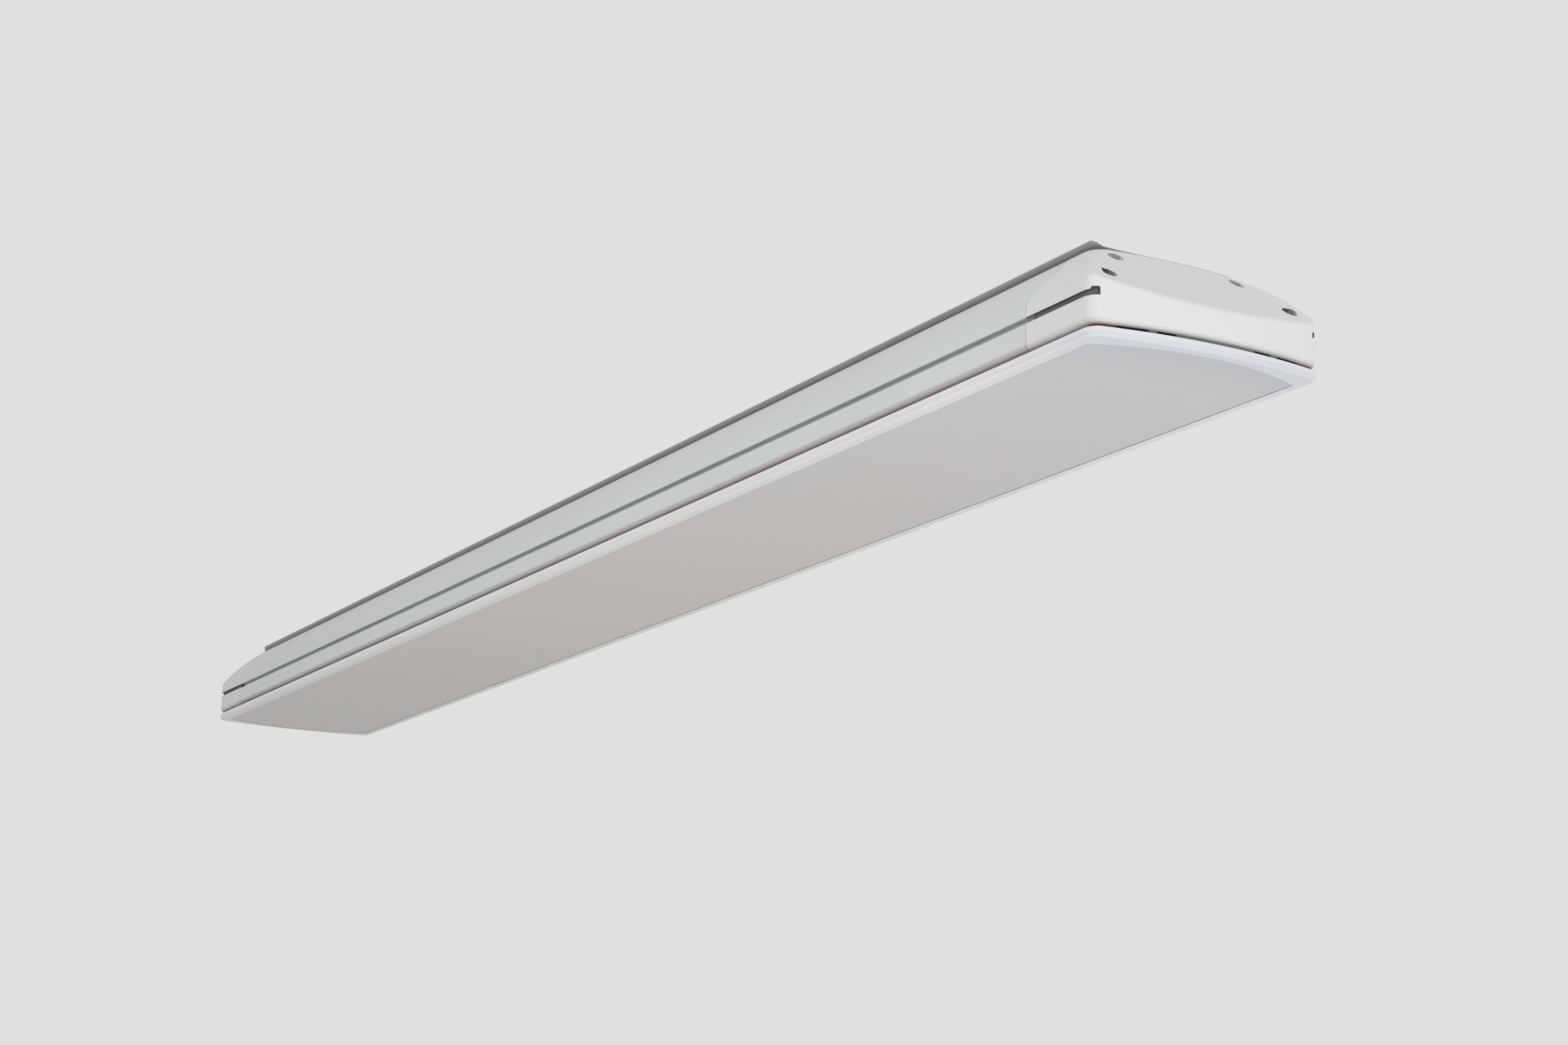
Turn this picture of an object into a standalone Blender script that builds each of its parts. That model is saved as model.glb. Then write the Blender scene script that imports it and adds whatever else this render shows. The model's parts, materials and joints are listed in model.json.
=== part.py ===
"""Ceiling-hung radiant heater bar with a flush glass front.

Units are metres and +Z is up. The bar lies along X and radiates downwards. The origin is
in the ceiling plane, midway between the two hanger plates, so the heater hangs below it.
"near" is the -Y side and "far" the +Y side, "right" is the +X end and "left" the -X end.
"""

import math

import bmesh
import bpy
from mathutils import Matrix, Vector

# Overall sizes
BODY_LENGTH = 1.810
BODY_WIDTH = 0.190
END_BOW_RADIUS = 0.420
CORNER_RADIUS = 0.010

# Heights, stacked from the ceiling plane down
HANGER_RISE = 0.022
COVER_HEIGHT = 0.007
HOUSING_HEIGHT = 0.0705
SHADOW_GAP = 0.002
FRAME_HEIGHT = 0.007

# Housing profile
HOUSING_WALL = 0.0024
TOP_WIDTH = 0.121
SHOULDER_HEIGHT = 0.0346
SHOULDER_RADIUS = 0.0135
HEM_RADIUS = 0.005
LIP_WIDTH = 0.015
GROOVE_HEIGHT = 0.0190
GROOVE_OPENING = 0.0043
GROOVE_DEPTH = 0.005

# End caps
CAP_LENGTH = 0.0857
CAP_TOP_LENGTH = 0.0356
CAP_SLOPE = 0.945
CAP_TOP_BOW_RADIUS = 0.400
CAP_TOP_RADIUS = 0.012
CAP_WALL = 0.0026
CAP_WEDGE = 0.009
CAP_EDGE_RADIUS = 0.0022
CAP_FLANGE_THICKNESS = 0.0024
CAP_FLANGE_WIDTH = 0.013
CAP_GROOVE_DEPTH = 0.0016
CAP_SLOT_START = 0.008
CAP_SLOT_MARGIN = 0.0095
CAP_SLOT_HEAD = 0.0060
CAP_SLOT_HEAD_LENGTH = 0.0042
CAP_SLOT_CUT = 0.009

# Cap screws in round recesses square to the sloping end
RECESS_RADIUS = 0.00575
RECESS_DEPTH = 0.0055
UPPER_SCREW_RUN = 0.0105
UPPER_SCREW_SPREAD = 0.051
LOWER_SCREW_RUN = 0.0454
LOWER_SCREW_SPREAD = 0.0756
SCREW_HEAD_RADIUS = 0.0043
SCREW_HEAD_HEIGHT = 0.0018
SCREW_SHANK_RADIUS = 0.002
SCREW_TIP = 0.002
CLAMP_PLATE_THICKNESS = 0.002
CLAMP_PLATE_MARGIN = 0.004

# Rear cover
COVER_WALL = 0.002
COVER_RAMP_NEAR = 0.0139
COVER_RAMP_FAR = 0.0209
COVER_EAR = 0.005
COVER_CORNER_RADIUS = 0.002
TRAVEL = 0.150
HANGER_SPACING = 0.900
SLOT_WIDTH = 0.0126

# Hangers
SHOE_LENGTH = 0.024
SHOE_WIDTH = 0.030
NECK_RISE = 0.0006
SHOE_FLOOR = 0.0012
POST_RADIUS = 0.005
NUT_RADIUS = 0.0098
NUT_HEIGHT = 0.0065
PLATE_LENGTH = 0.080
PLATE_WIDTH = 0.036
PLATE_THICKNESS = 0.003
PLATE_CORNER = 0.006
PLATE_HOLE_RADIUS = 0.0035
PLATE_HOLE_SPACING = 0.056

# Front frame, glass and gasket
FRAME_EDGE_RADIUS = 0.0025
FRAME_WALL = 0.008
FRAME_CHAMFER = 0.0004
FRAME_RIM = 0.010
GLASS_BOW_RADIUS = 0.2045
GLASS_CORNER_RADIUS = 0.0015
GLASS_THICKNESS = 0.004
GLASS_INSET = 0.0002
GASKET_THICKNESS = 0.0015
GASKET_OVERLAP = 0.005

# Clips that clamp the glass and hold the frame off the housing
CLIP_LENGTH = 0.020
CLIP_FOOT = 0.004
CLIP_REACH = 0.0075
CLIP_GRIP = 0.003
CLIP_SPACING = 0.600
END_CLIP_INSET = 0.0015
END_CLIP_STRIP = 0.009
END_CLIP_TONGUE = 0.064
END_CLIP_TAB = 0.006
END_CLIP_TAB_SPREAD = 0.050
END_CLIP_FOOT_LENGTH = 0.036

# Reflectors, insulation and heat shield
REFLECTOR_MARGIN = 0.0263
REFLECTOR_SHEET = 0.0008
REFLECTOR_RISE = 0.034
REFLECTOR_GAP = 0.008
REFLECTOR_FLANGE = 0.004
REFLECTOR_STEPS = 14
BLANKET_THICKNESS = 0.012
BLANKET_WIDTH = 0.116
SHIELD_THICKNESS = 0.0012
SHIELD_WIDTH = 0.106

# Heating tubes and their ceramics
TUBE_RADIUS = 0.006
TUBE_BORE = 0.0045
TUBE_DROP = 0.018
END_PLATE_THICKNESS = 0.002
END_PLATE_MARGIN = 0.0223
END_PLATE_FIT = 0.0003
END_PLATE_SKIRT = 0.002
END_CERAMIC_LENGTH = 0.016
CERAMIC_WIDTH = 0.018
TUBE_INSERT = 0.008
CENTRE_CERAMIC_LENGTH = 0.022
CENTRE_CERAMIC_GAP = 0.006
CREST_RELIEF = 0.0024

# Terminal housing and wiring
TERMINAL_MARGIN = 0.1193
TERMINAL_LENGTH = 0.130
TERMINAL_WIDTH = 0.064
TERMINAL_HEIGHT = 0.014
TERMINAL_WALL = 0.0016
TERMINAL_CORNER = 0.004
TERMINAL_PILLAR = 0.004
WIRE_HOLE_RADIUS = 0.009
BLOCK_LENGTH = 0.020
BLOCK_WIDTH = 0.044
BLOCK_HEIGHT = 0.0085
BLOCK_CLEARANCE = 0.002
GLAND_RADIUS = 0.0064
GLAND_LENGTH = 0.022
GLAND_BORE = 0.0035
GLAND_THREAD = 0.0052
GLAND_ENTRY = 0.0145
GLAND_OFFSET = 0.016
COVER_SCREW_RADIUS = 0.0032
COVER_SCREW_HEIGHT = 0.0016
COVER_SCREW_SPACING = 0.112
COVER_SCREW_SHANK = 0.0015
COVER_BOLT_MARGIN = 0.0313
COVER_BOLT_RADIUS = 0.0045
COVER_BOLT_HEIGHT = 0.0025
COVER_BOLT_SHANK = 0.0022
LEAD_RADIUS = 0.0013
LEAD_SPREAD = 0.008
LEAD_RUN = 0.056
LEAD_HOLE_RADIUS = 0.004
LEAD_LOOP = 0.016
CUTOUT_OFFSET = 0.150
CUTOUT_RADIUS = 0.009
CUTOUT_HEIGHT = 0.008

# Clearances
GAP = 0.0003
SLIDE_GAP = 0.0004
OVERCUT = 0.002

# Facets
CORNER_STEPS = 7
BOW_STEPS = 14
ROUND_SEGMENTS = 24
SMALL_SEGMENTS = 16

# Levels that follow from the sizes above
Z_COVER_TOP = -HANGER_RISE
Z_HOUSING_TOP = Z_COVER_TOP - COVER_HEIGHT
Z_HOUSING_BOTTOM = Z_HOUSING_TOP - HOUSING_HEIGHT
Z_FRAME_TOP = Z_HOUSING_BOTTOM - SHADOW_GAP
Z_FRONT = Z_FRAME_TOP - FRAME_HEIGHT
Z_GLASS_BACK = Z_FRONT + GLASS_INSET + GLASS_THICKNESS
Z_LIP = Z_HOUSING_BOTTOM + HOUSING_WALL
Z_SHOULDER = Z_HOUSING_BOTTOM + SHOULDER_HEIGHT
Z_CLIP_LOW = Z_FRAME_TOP + GAP
Z_CLIP_HIGH = Z_HOUSING_BOTTOM - GAP
Z_CLIP_FOOT = Z_GLASS_BACK + GAP + GASKET_THICKNESS + GAP
HALF_WIDTH = BODY_WIDTH / 2
HALF_TOP = TOP_WIDTH / 2
APEX = BODY_LENGTH / 2
SEAM = APEX - CAP_LENGTH
HOUSING_LENGTH = 2 * SEAM
CAP_TOP_END = SEAM + CAP_TOP_LENGTH
CAP_LEAN = math.atan(CAP_SLOPE)
CAP_SLOT_END = APEX - CAP_SLOT_MARGIN
CAP_BACK = CAP_WEDGE + HALF_TOP**2 / (2 * CAP_TOP_BOW_RADIUS) * math.sin(CAP_LEAN)
FLANK_SLOPE = (Z_HOUSING_TOP - Z_SHOULDER) / (HALF_WIDTH - HALF_TOP)
COVER_TOP_NEAR = CAP_TOP_END - COVER_RAMP_NEAR
COVER_TOP_FAR = CAP_TOP_END - COVER_RAMP_FAR
GLASS_WIDTH = BODY_WIDTH - 2 * FRAME_RIM
GLASS_LENGTH = BODY_LENGTH - 2 * FRAME_RIM
END_PLATE_PLACE = SEAM - END_PLATE_MARGIN
COVER_BOLT_SPREAD = SEAM - COVER_BOLT_MARGIN
TERMINAL_PLACE = SEAM - TERMINAL_MARGIN
CUTOUT_PLACE = TERMINAL_PLACE - CUTOUT_OFFSET

# Reflectors stand on the housing lip, and the rest stacks on their crest
REFLECTOR_LENGTH = HOUSING_LENGTH - 2 * REFLECTOR_MARGIN
Z_REFLECTOR = Z_LIP + GAP
Z_REFLECTOR_CREST = Z_REFLECTOR + REFLECTOR_RISE
Z_BLANKET = Z_REFLECTOR_CREST + GAP
Z_SHIELD = Z_BLANKET + BLANKET_THICKNESS + GAP
REFLECTOR_EDGE = HALF_WIDTH - LIP_WIDTH
ROW_SPREAD = (REFLECTOR_EDGE + REFLECTOR_GAP / 2) / 2
Z_TUBE = Z_REFLECTOR_CREST - REFLECTOR_SHEET - TUBE_DROP
Z_LEAD = (Z_SHIELD + SHIELD_THICKNESS + Z_HOUSING_TOP - HOUSING_WALL) / 2

MATERIALS = {
    "white_paint": ((0.86, 0.87, 0.87), 0.42, 0.0),
    "white_moulding": ((0.88, 0.87, 0.87), 0.48, 0.0),
    "frosted_glass": ((0.55, 0.56, 0.58), 0.32, 0.0),
    "black_rubber": ((0.03, 0.03, 0.03), 0.8, 0.0),
    "dark_metal": ((0.12, 0.12, 0.12), 0.4, 0.6),
    "steel": ((0.55, 0.55, 0.56), 0.35, 1.0),
    "bright_aluminium": ((0.8, 0.8, 0.82), 0.15, 1.0),
    "quartz": ((0.75, 0.72, 0.68), 0.1, 0.0),
    "ceramic": ((0.85, 0.83, 0.78), 0.6, 0.0),
    "blanket": ((0.75, 0.72, 0.66), 0.95, 0.0),
    "black_plastic": ((0.04, 0.04, 0.04), 0.5, 0.0),
    "lead_sleeve": ((0.35, 0.12, 0.08), 0.6, 0.0),
}


def clear_scene():
    for item in list(bpy.data.objects):
        bpy.data.objects.remove(item, do_unlink=True)


def new_collection(name):
    group = bpy.data.collections.new(name)
    bpy.context.scene.collection.children.link(group)
    return group


def get_material(name):
    """Principled material of the named finish, made once."""
    found = bpy.data.materials.get(name)
    if found:
        return found
    colour, roughness, metallic = MATERIALS[name]
    finish = bpy.data.materials.new(name)
    finish.use_nodes = True
    shader = finish.node_tree.nodes["Principled BSDF"]
    shader.inputs["Base Color"].default_value = (*colour, 1.0)
    shader.inputs["Roughness"].default_value = roughness
    shader.inputs["Metallic"].default_value = metallic
    return finish


def place(name, mesh, finish, location=(0, 0, 0), rotation=(0, 0, 0), parent=None):
    """Put a mesh in the parts collection under a node's name."""
    item = bpy.data.objects.new(name, mesh)
    item.location = location
    item.rotation_euler = rotation
    item.parent = parent
    if not mesh.materials:
        mesh.materials.append(get_material(finish))
    mesh.set_sharp_from_angle(angle=math.radians(35))
    PARTS.objects.link(item)
    return item


def place_cutter(name, mesh, location=(0, 0, 0), rotation=(0, 0, 0)):
    item = bpy.data.objects.new(name, mesh)
    item.location = location
    item.rotation_euler = rotation
    item.hide_render = True
    item.display_type = "WIRE"
    CUTTERS.objects.link(item)
    return item


def combine(item, other, operation="DIFFERENCE"):
    """Boolean modifier that cuts a piece, or joins a shape to it."""
    step = item.modifiers.new(other.name, "BOOLEAN")
    step.operation = operation
    step.solver = "EXACT"
    step.object = other


def bevel(item, width, segments=2):
    step = item.modifiers.new("edges", "BEVEL")
    step.width = width
    step.segments = segments
    step.limit_method = "ANGLE"
    step.angle_limit = math.radians(40)


def finish_mesh(name, shape):
    """Turn a bmesh into a mesh whose faces point outwards."""
    bmesh.ops.recalc_face_normals(shape, faces=shape.faces)
    mesh = bpy.data.meshes.new(name)
    shape.to_mesh(mesh)
    shape.free()
    mesh.shade_smooth()
    return mesh


def box_mesh(name, size, centre=(0, 0, 0)):
    shape = bmesh.new()
    bmesh.ops.create_cube(shape, size=1.0)
    bmesh.ops.scale(shape, vec=Vector(size), verts=shape.verts)
    bmesh.ops.translate(shape, vec=Vector(centre), verts=shape.verts)
    return finish_mesh(name, shape)


def rod_mesh(name, rods, segments):
    """Upright cylinders as one mesh, each given as (x, y, low z, high z, radius)."""
    shape = bmesh.new()
    for x, y, low, high, radius in rods:
        centre = Matrix.Translation((x, y, (low + high) / 2))
        bmesh.ops.create_cone(
            shape,
            cap_ends=True,
            segments=segments,
            radius1=radius,
            radius2=radius,
            depth=high - low,
            matrix=centre,
        )
    return finish_mesh(name, shape)


def outline_mesh(name, loops, thickness):
    """Flat outline in XY, with any holes as further loops, thickened about z = 0."""
    curve = bpy.data.curves.new(name, "CURVE")
    curve.dimensions = "2D"
    curve.fill_mode = "BOTH"
    curve.extrude = thickness / 2
    for loop in loops:
        spline = curve.splines.new("POLY")
        spline.points.add(len(loop) - 1)
        for point, (x, y) in zip(spline.points, loop):
            point.co = (x, y, 0, 1)
        spline.use_cyclic_u = True
    return mesh_of_curve(name, curve)


def tube_curve(name, points, radius):
    """Round wire through the given points, with closed ends."""
    curve = bpy.data.curves.new(name, "CURVE")
    curve.dimensions = "3D"
    curve.bevel_depth = radius
    curve.bevel_resolution = 1
    curve.use_fill_caps = True
    spline = curve.splines.new("POLY")
    spline.points.add(len(points) - 1)
    for point, place_at in zip(spline.points, points):
        point.co = (*place_at, 1)
    return mesh_of_curve(name, curve)


def mesh_of_curve(name, curve):
    """Mesh of a curve with its caps welded on."""
    guide = bpy.data.objects.new(name, curve)
    bpy.context.scene.collection.objects.link(guide)
    bpy.context.view_layer.update()
    shown = guide.evaluated_get(bpy.context.evaluated_depsgraph_get())
    rough = bpy.data.meshes.new_from_object(shown)
    bpy.data.objects.remove(guide, do_unlink=True)
    shape = bmesh.new()
    shape.from_mesh(rough)
    bmesh.ops.remove_doubles(shape, verts=shape.verts, dist=0.00001)
    return finish_mesh(name, shape)


def loft_mesh(name, sections, closed):
    """Skin over closed sections of equal point count, capped at both ends unless closed."""
    shape = bmesh.new()
    rings = [[shape.verts.new(point) for point in section] for section in sections]
    pairs = list(zip(rings, rings[1:]))
    if closed:
        pairs.append((rings[-1], rings[0]))
    count = len(rings[0])
    for first, second in pairs:
        for i in range(count):
            j = (i + 1) % count
            shape.faces.new((first[i], first[j], second[j], second[i]))
    if not closed:
        shape.faces.new(rings[0])
        shape.faces.new(rings[-1])
    return finish_mesh(name, shape)


def arc(centre, radius, start, end, steps):
    """Points of an arc from one angle to another, both ends included."""
    points = []
    for i in range(steps + 1):
        angle = start + (end - start) * i / steps
        x = centre[0] + radius * math.cos(angle)
        y = centre[1] + radius * math.sin(angle)
        points.append((x, y))
    return points


def bowed_end(half_width, apex, bow_radius, corner_radius):
    """Right-hand end in plan: corner fillet, bowed edge, corner fillet, from near to far."""
    bow_centre = apex - bow_radius
    across = half_width - corner_radius
    along = bow_centre + math.sqrt((bow_radius - corner_radius) ** 2 - across**2)
    swing = math.atan2(across, along - bow_centre)
    near = arc((along, -across), corner_radius, -math.pi / 2, -swing, CORNER_STEPS)
    bow = arc((bow_centre, 0), bow_radius, -swing, swing, BOW_STEPS)
    far = arc((along, across), corner_radius, swing, math.pi / 2, CORNER_STEPS)
    return near + bow[1:-1] + far


def straight_end(half_width, near_x, far_x, corner_radius, ear):
    """Right-hand end in plan with a straight edge, whose near corner stands out by an ear.

    It has as many points as bowed_end.
    """
    across = half_width - corner_radius
    near_x -= corner_radius
    far_x -= corner_radius
    near = arc((near_x + ear, -across), corner_radius, -math.pi / 2, 0, CORNER_STEPS)
    far = arc((far_x, across), corner_radius, 0, math.pi / 2, CORNER_STEPS)
    edge = []
    for i in range(1, BOW_STEPS):
        share = i / BOW_STEPS
        x = near_x + (far_x - near_x) * share + corner_radius
        edge.append((x, across * (2 * share - 1)))
    return near + edge + far


def bar_outline(half_width, apex, bow_radius, corner_radius):
    """Whole plan outline of the bar: the right end, then the same end turned half round."""
    end = bowed_end(half_width, apex, bow_radius, corner_radius)
    return end + [(-x, -y) for x, y in end]


def body_outline(inset):
    return bar_outline(
        HALF_WIDTH - inset, APEX - inset, END_BOW_RADIUS - inset, CORNER_RADIUS - inset
    )


def glass_outline(outset):
    return bar_outline(
        GLASS_WIDTH / 2 + outset,
        GLASS_LENGTH / 2 + outset,
        GLASS_BOW_RADIUS + outset,
        max(GLASS_CORNER_RADIUS + outset, 0.0005),
    )


def mirrored(half):
    """Close a half outline, listed from the middle out and back, with its mirror image."""
    return half + [(-y, z) for y, z in reversed(half)]


def shoulder_points(wall_side, corner, slope_side, steps):
    """Round a shoulder with the quadratic curve that leaves both faces tangentially."""
    points = []
    for i in range(steps + 1):
        u = i / steps
        a = (1 - u) ** 2
        b = 2 * u * (1 - u)
        c = u**2
        mixed = [a * p + b * q + c * r for p, q, r in zip(wall_side, corner, slope_side)]
        points.append(tuple(mixed))
    return points


def housing_inner(clearance):
    """Half of the housing's inner profile, from the middle of the top down to the lip."""
    wall = HOUSING_WALL + clearance
    drop = wall * math.hypot(1, FLANK_SLOPE)
    side = HALF_WIDTH - wall
    top = Z_HOUSING_TOP - wall
    slope_top = HALF_TOP + (Z_HOUSING_TOP - drop - top) / FLANK_SLOPE
    slope_bottom = Z_HOUSING_TOP - FLANK_SLOPE * (side - HALF_TOP) - drop
    groove_back = side - GROOVE_DEPTH
    groove_low = Z_HOUSING_BOTTOM + GROOVE_HEIGHT - wall
    groove_high = groove_low + GROOVE_OPENING + 2 * wall
    return [
        (slope_top, top),
        (side, slope_bottom),
        (side, groove_high),
        (groove_back, groove_high),
        (groove_back, groove_low),
        (side, groove_low),
        (side, Z_LIP + HEM_RADIUS - HOUSING_WALL),
        (side - HEM_RADIUS + HOUSING_WALL, Z_LIP + clearance),
    ]


def housing_profile():
    """Whole housing profile in (y, z): a hat with hemmed lips, grooves and flanks."""
    groove_low = Z_HOUSING_BOTTOM + GROOVE_HEIGHT
    groove_back = HALF_WIDTH - GROOVE_DEPTH
    run = SHOULDER_RADIUS * math.tan(math.atan(1 / FLANK_SLOPE) / 2)
    rise = run / math.hypot(1, FLANK_SLOPE)
    wall_side = (HALF_WIDTH, Z_SHOULDER - run)
    slope_side = (HALF_WIDTH - rise, Z_SHOULDER + rise * FLANK_SLOPE)
    hem_centre = (HALF_WIDTH - HEM_RADIUS, Z_HOUSING_BOTTOM + HEM_RADIUS)
    half = housing_inner(0)
    half += [
        (HALF_WIDTH - LIP_WIDTH, Z_LIP),
        (HALF_WIDTH - LIP_WIDTH, Z_HOUSING_BOTTOM),
    ]
    half += arc(hem_centre, HEM_RADIUS, -math.pi / 2, 0, 4)
    half += [
        (HALF_WIDTH, groove_low),
        (groove_back, groove_low),
        (groove_back, groove_low + GROOVE_OPENING),
        (HALF_WIDTH, groove_low + GROOVE_OPENING),
    ]
    half += shoulder_points(wall_side, (HALF_WIDTH, Z_SHOULDER), slope_side, 5)
    half.append((HALF_TOP, Z_HOUSING_TOP))
    return mirrored(half)


def along_x(name, profile, length, finish, x=0.0):
    """Extrude a (y, z) profile along X about the given place."""
    mesh = outline_mesh(name, [profile], length)
    return place(name, mesh, finish, (x, 0, 0), (math.pi / 2, 0, math.pi / 2))


def make_housing():
    housing = along_x("housing", housing_profile(), HOUSING_LENGTH, "white_paint")
    low = Z_HOUSING_TOP - HOUSING_WALL - OVERCUT
    high = Z_HOUSING_TOP + OVERCUT
    holes = [(TERMINAL_PLACE, 0, low, high, WIRE_HOLE_RADIUS)]
    for x in cover_bolt_places().values():
        holes.append((x, 0, low, high, COVER_BOLT_SHANK + GAP))
    combine(housing, place_cutter("housing_holes", rod_mesh("holes", holes, SMALL_SEGMENTS)))


def cap_ring(end):
    """Plan points of one ring of the cap's wall, with a point at the seam on each side."""
    seam = SEAM + GAP
    return [(seam, end[0][1])] + end + [(seam, end[-1][1])]


def wall_ring(inset):
    return cap_ring(
        bowed_end(
            HALF_WIDTH - inset, APEX - inset, END_BOW_RADIUS - inset, CORNER_RADIUS - inset
        )
    )


def top_end(inset):
    """Bowed end of the housing's flat top, set in from its edge."""
    corner_radius = max(CAP_TOP_RADIUS - inset, CAP_EDGE_RADIUS)
    return bowed_end(
        HALF_TOP - inset, CAP_TOP_END - inset, CAP_TOP_BOW_RADIUS - inset, corner_radius
    )


def top_ring(inset):
    return cap_ring(top_end(inset))


def end_shares():
    """How far each column of the cap has turned from its side, 0, to its end, 1."""
    corner = [0] + [i / CORNER_STEPS for i in range(CORNER_STEPS + 1)]
    return corner + [1] * (BOW_STEPS - 1) + corner[::-1]


def mix(first, second, share):
    return first + (second - first) * share


def cap_section(wall, top, share, insets):
    """Closed section of the cap at one column, from the hem up the skin and back inside."""
    bow_level = Z_HOUSING_TOP - CAP_SLOPE * (max(wall[0], SEAM) - CAP_TOP_END)
    level = mix(Z_SHOULDER, bow_level, share)
    fall = mix(FLANK_SLOPE, CAP_SLOPE, share)
    radius = mix(SHOULDER_RADIUS, CAP_EDGE_RADIUS, share)
    thickness = mix(CAP_WALL, CAP_WEDGE, share)
    drop = thickness * math.hypot(1, fall)
    corner = Vector((*wall, level))
    slope = (Vector((*top, Z_HOUSING_TOP)) - corner).normalized()
    run = radius * math.tan(math.atan(1 / fall) / 2)
    skin = shoulder_points(corner - Vector((0, 0, run)), corner, corner + slope * run, 3)
    under = Z_HOUSING_TOP - CAP_FLANGE_THICKNESS
    hem = [(*at, Z_HOUSING_BOTTOM + rise) for at, rise in insets["hem"]]
    inner_top = [mix(a, b, share) for a, b in zip(insets["side_top"], insets["end_top"])]
    return (
        hem
        + skin
        + [
            (*top, Z_HOUSING_TOP),
            (*insets["flange"], Z_HOUSING_TOP),
            (*insets["flange"], under),
            (*inner_top, under),
            (*insets["wall"], level + fall * CAP_WALL - drop),
            (*insets["wall"], Z_HOUSING_BOTTOM + HEM_RADIUS),
            (*insets["hem_top"], Z_HOUSING_BOTTOM + CAP_WALL),
            (*insets["lip"], Z_HOUSING_BOTTOM + CAP_WALL),
            (*insets["lip"], Z_HOUSING_BOTTOM),
        ]
    )


def inner_inset(thickness, fall):
    """How far inside the top edge the back of a sloping wall meets the flange."""
    return (thickness * math.hypot(1, fall) - CAP_FLANGE_THICKNESS) / fall


def cap_mesh():
    """Skin of the right-hand cap: a hemmed wall bent round the bar's bowed end."""
    hem_arc = arc((HEM_RADIUS, HEM_RADIUS), HEM_RADIUS, -math.pi / 2, -math.pi, 4)
    hem = [(wall_ring(inset), rise) for inset, rise in hem_arc]
    rings = {
        "flange": top_ring(CAP_FLANGE_WIDTH),
        "side_top": top_ring(inner_inset(CAP_WALL, FLANK_SLOPE)),
        "end_top": top_ring(inner_inset(CAP_WEDGE, CAP_SLOPE)),
        "wall": wall_ring(CAP_WALL),
        "hem_top": wall_ring(HEM_RADIUS),
        "lip": wall_ring(LIP_WIDTH),
    }
    walls = wall_ring(0)
    tops = top_ring(0)
    sections = []
    for i, share in enumerate(end_shares()):
        insets = {key: ring[i] for key, ring in rings.items()}
        insets["hem"] = [(ring[i], rise) for ring, rise in hem]
        sections.append(cap_section(walls[i], tops[i], share, insets))
    return loft_mesh("end_cap", sections, closed=False)


def slot_mesh():
    """Cutter for both side slots of a cap: bars with a taller head at the corner."""
    low = Z_HOUSING_BOTTOM + GROOVE_HEIGHT
    high = low + GROOVE_OPENING
    start = SEAM + GAP + CAP_SLOT_START
    head = CAP_SLOT_END - CAP_SLOT_HEAD_LENGTH
    outline = [
        (start, low),
        (CAP_SLOT_END, low),
        (CAP_SLOT_END, low + CAP_SLOT_HEAD),
        (head, low + CAP_SLOT_HEAD),
        (head, high),
        (start, high),
    ]
    depth = CAP_SLOT_CUT + OVERCUT
    shape = bmesh.new()
    for side in (-1, 1):
        single = outline_mesh("slot", [outline], depth)
        single.transform(Matrix.Rotation(math.pi / 2, 4, "X"))
        single.transform(Matrix.Translation((0, side * (HALF_WIDTH + OVERCUT - depth / 2), 0)))
        shape.from_mesh(single)
    return finish_mesh("slots", shape)


def groove_mesh():
    """Cutter that carries the housing's groove across the seam to the cap's slots."""
    low = Z_HOUSING_BOTTOM + GROOVE_HEIGHT
    centre_z = low + GROOVE_OPENING / 2
    length = CAP_SLOT_START + 2 * OVERCUT
    centre_x = SEAM + GAP + (CAP_SLOT_START + GAP) / 2
    depth = CAP_GROOVE_DEPTH + OVERCUT
    shape = bmesh.new()
    for side in (-1, 1):
        centre_y = side * (HALF_WIDTH + OVERCUT - depth / 2)
        size = (length, depth, GROOVE_OPENING)
        shape.from_mesh(box_mesh("groove", size, (centre_x, centre_y, centre_z)))
    return finish_mesh("grooves", shape)


def screw_places():
    """Places of a cap's screws, down the slope and across it."""
    return {
        "upper_near": (UPPER_SCREW_RUN, -UPPER_SCREW_SPREAD),
        "upper_far": (UPPER_SCREW_RUN, UPPER_SCREW_SPREAD),
        "lower_near": (LOWER_SCREW_RUN, -LOWER_SCREW_SPREAD),
        "lower_far": (LOWER_SCREW_RUN, LOWER_SCREW_SPREAD),
    }


def turned(name, profile, finish, location=(0, 0, 0), rotation=(0, 0, 0), parent=None):
    """Turn an (x, z) profile, listed down its outer side, about the Z axis."""
    mesh = bpy.data.meshes.new(name)
    points = [(x, 0, z) for x, z in profile]
    edges = [(i, i + 1) for i in range(len(points) - 1)]
    if profile[0][0] > 0:
        edges.append((len(points) - 1, 0))
    mesh.from_pydata(points, edges, [])
    item = place(name, mesh, finish, location, rotation, parent)
    step = item.modifiers.new("turn", "SCREW")
    step.axis = "Z"
    step.steps = ROUND_SEGMENTS
    step.render_steps = ROUND_SEGMENTS
    step.use_merge_vertices = True
    step.merge_threshold = 0.00001
    step.use_smooth_shade = True
    return item


def empty(name, location=(0, 0, 0), rotation=(0, 0, 0), parent=None):
    """Frame that pieces are placed in."""
    frame = bpy.data.objects.new(name, None)
    frame.location = location
    frame.rotation_euler = rotation
    frame.parent = parent
    PARTS.objects.link(frame)
    return frame


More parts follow.
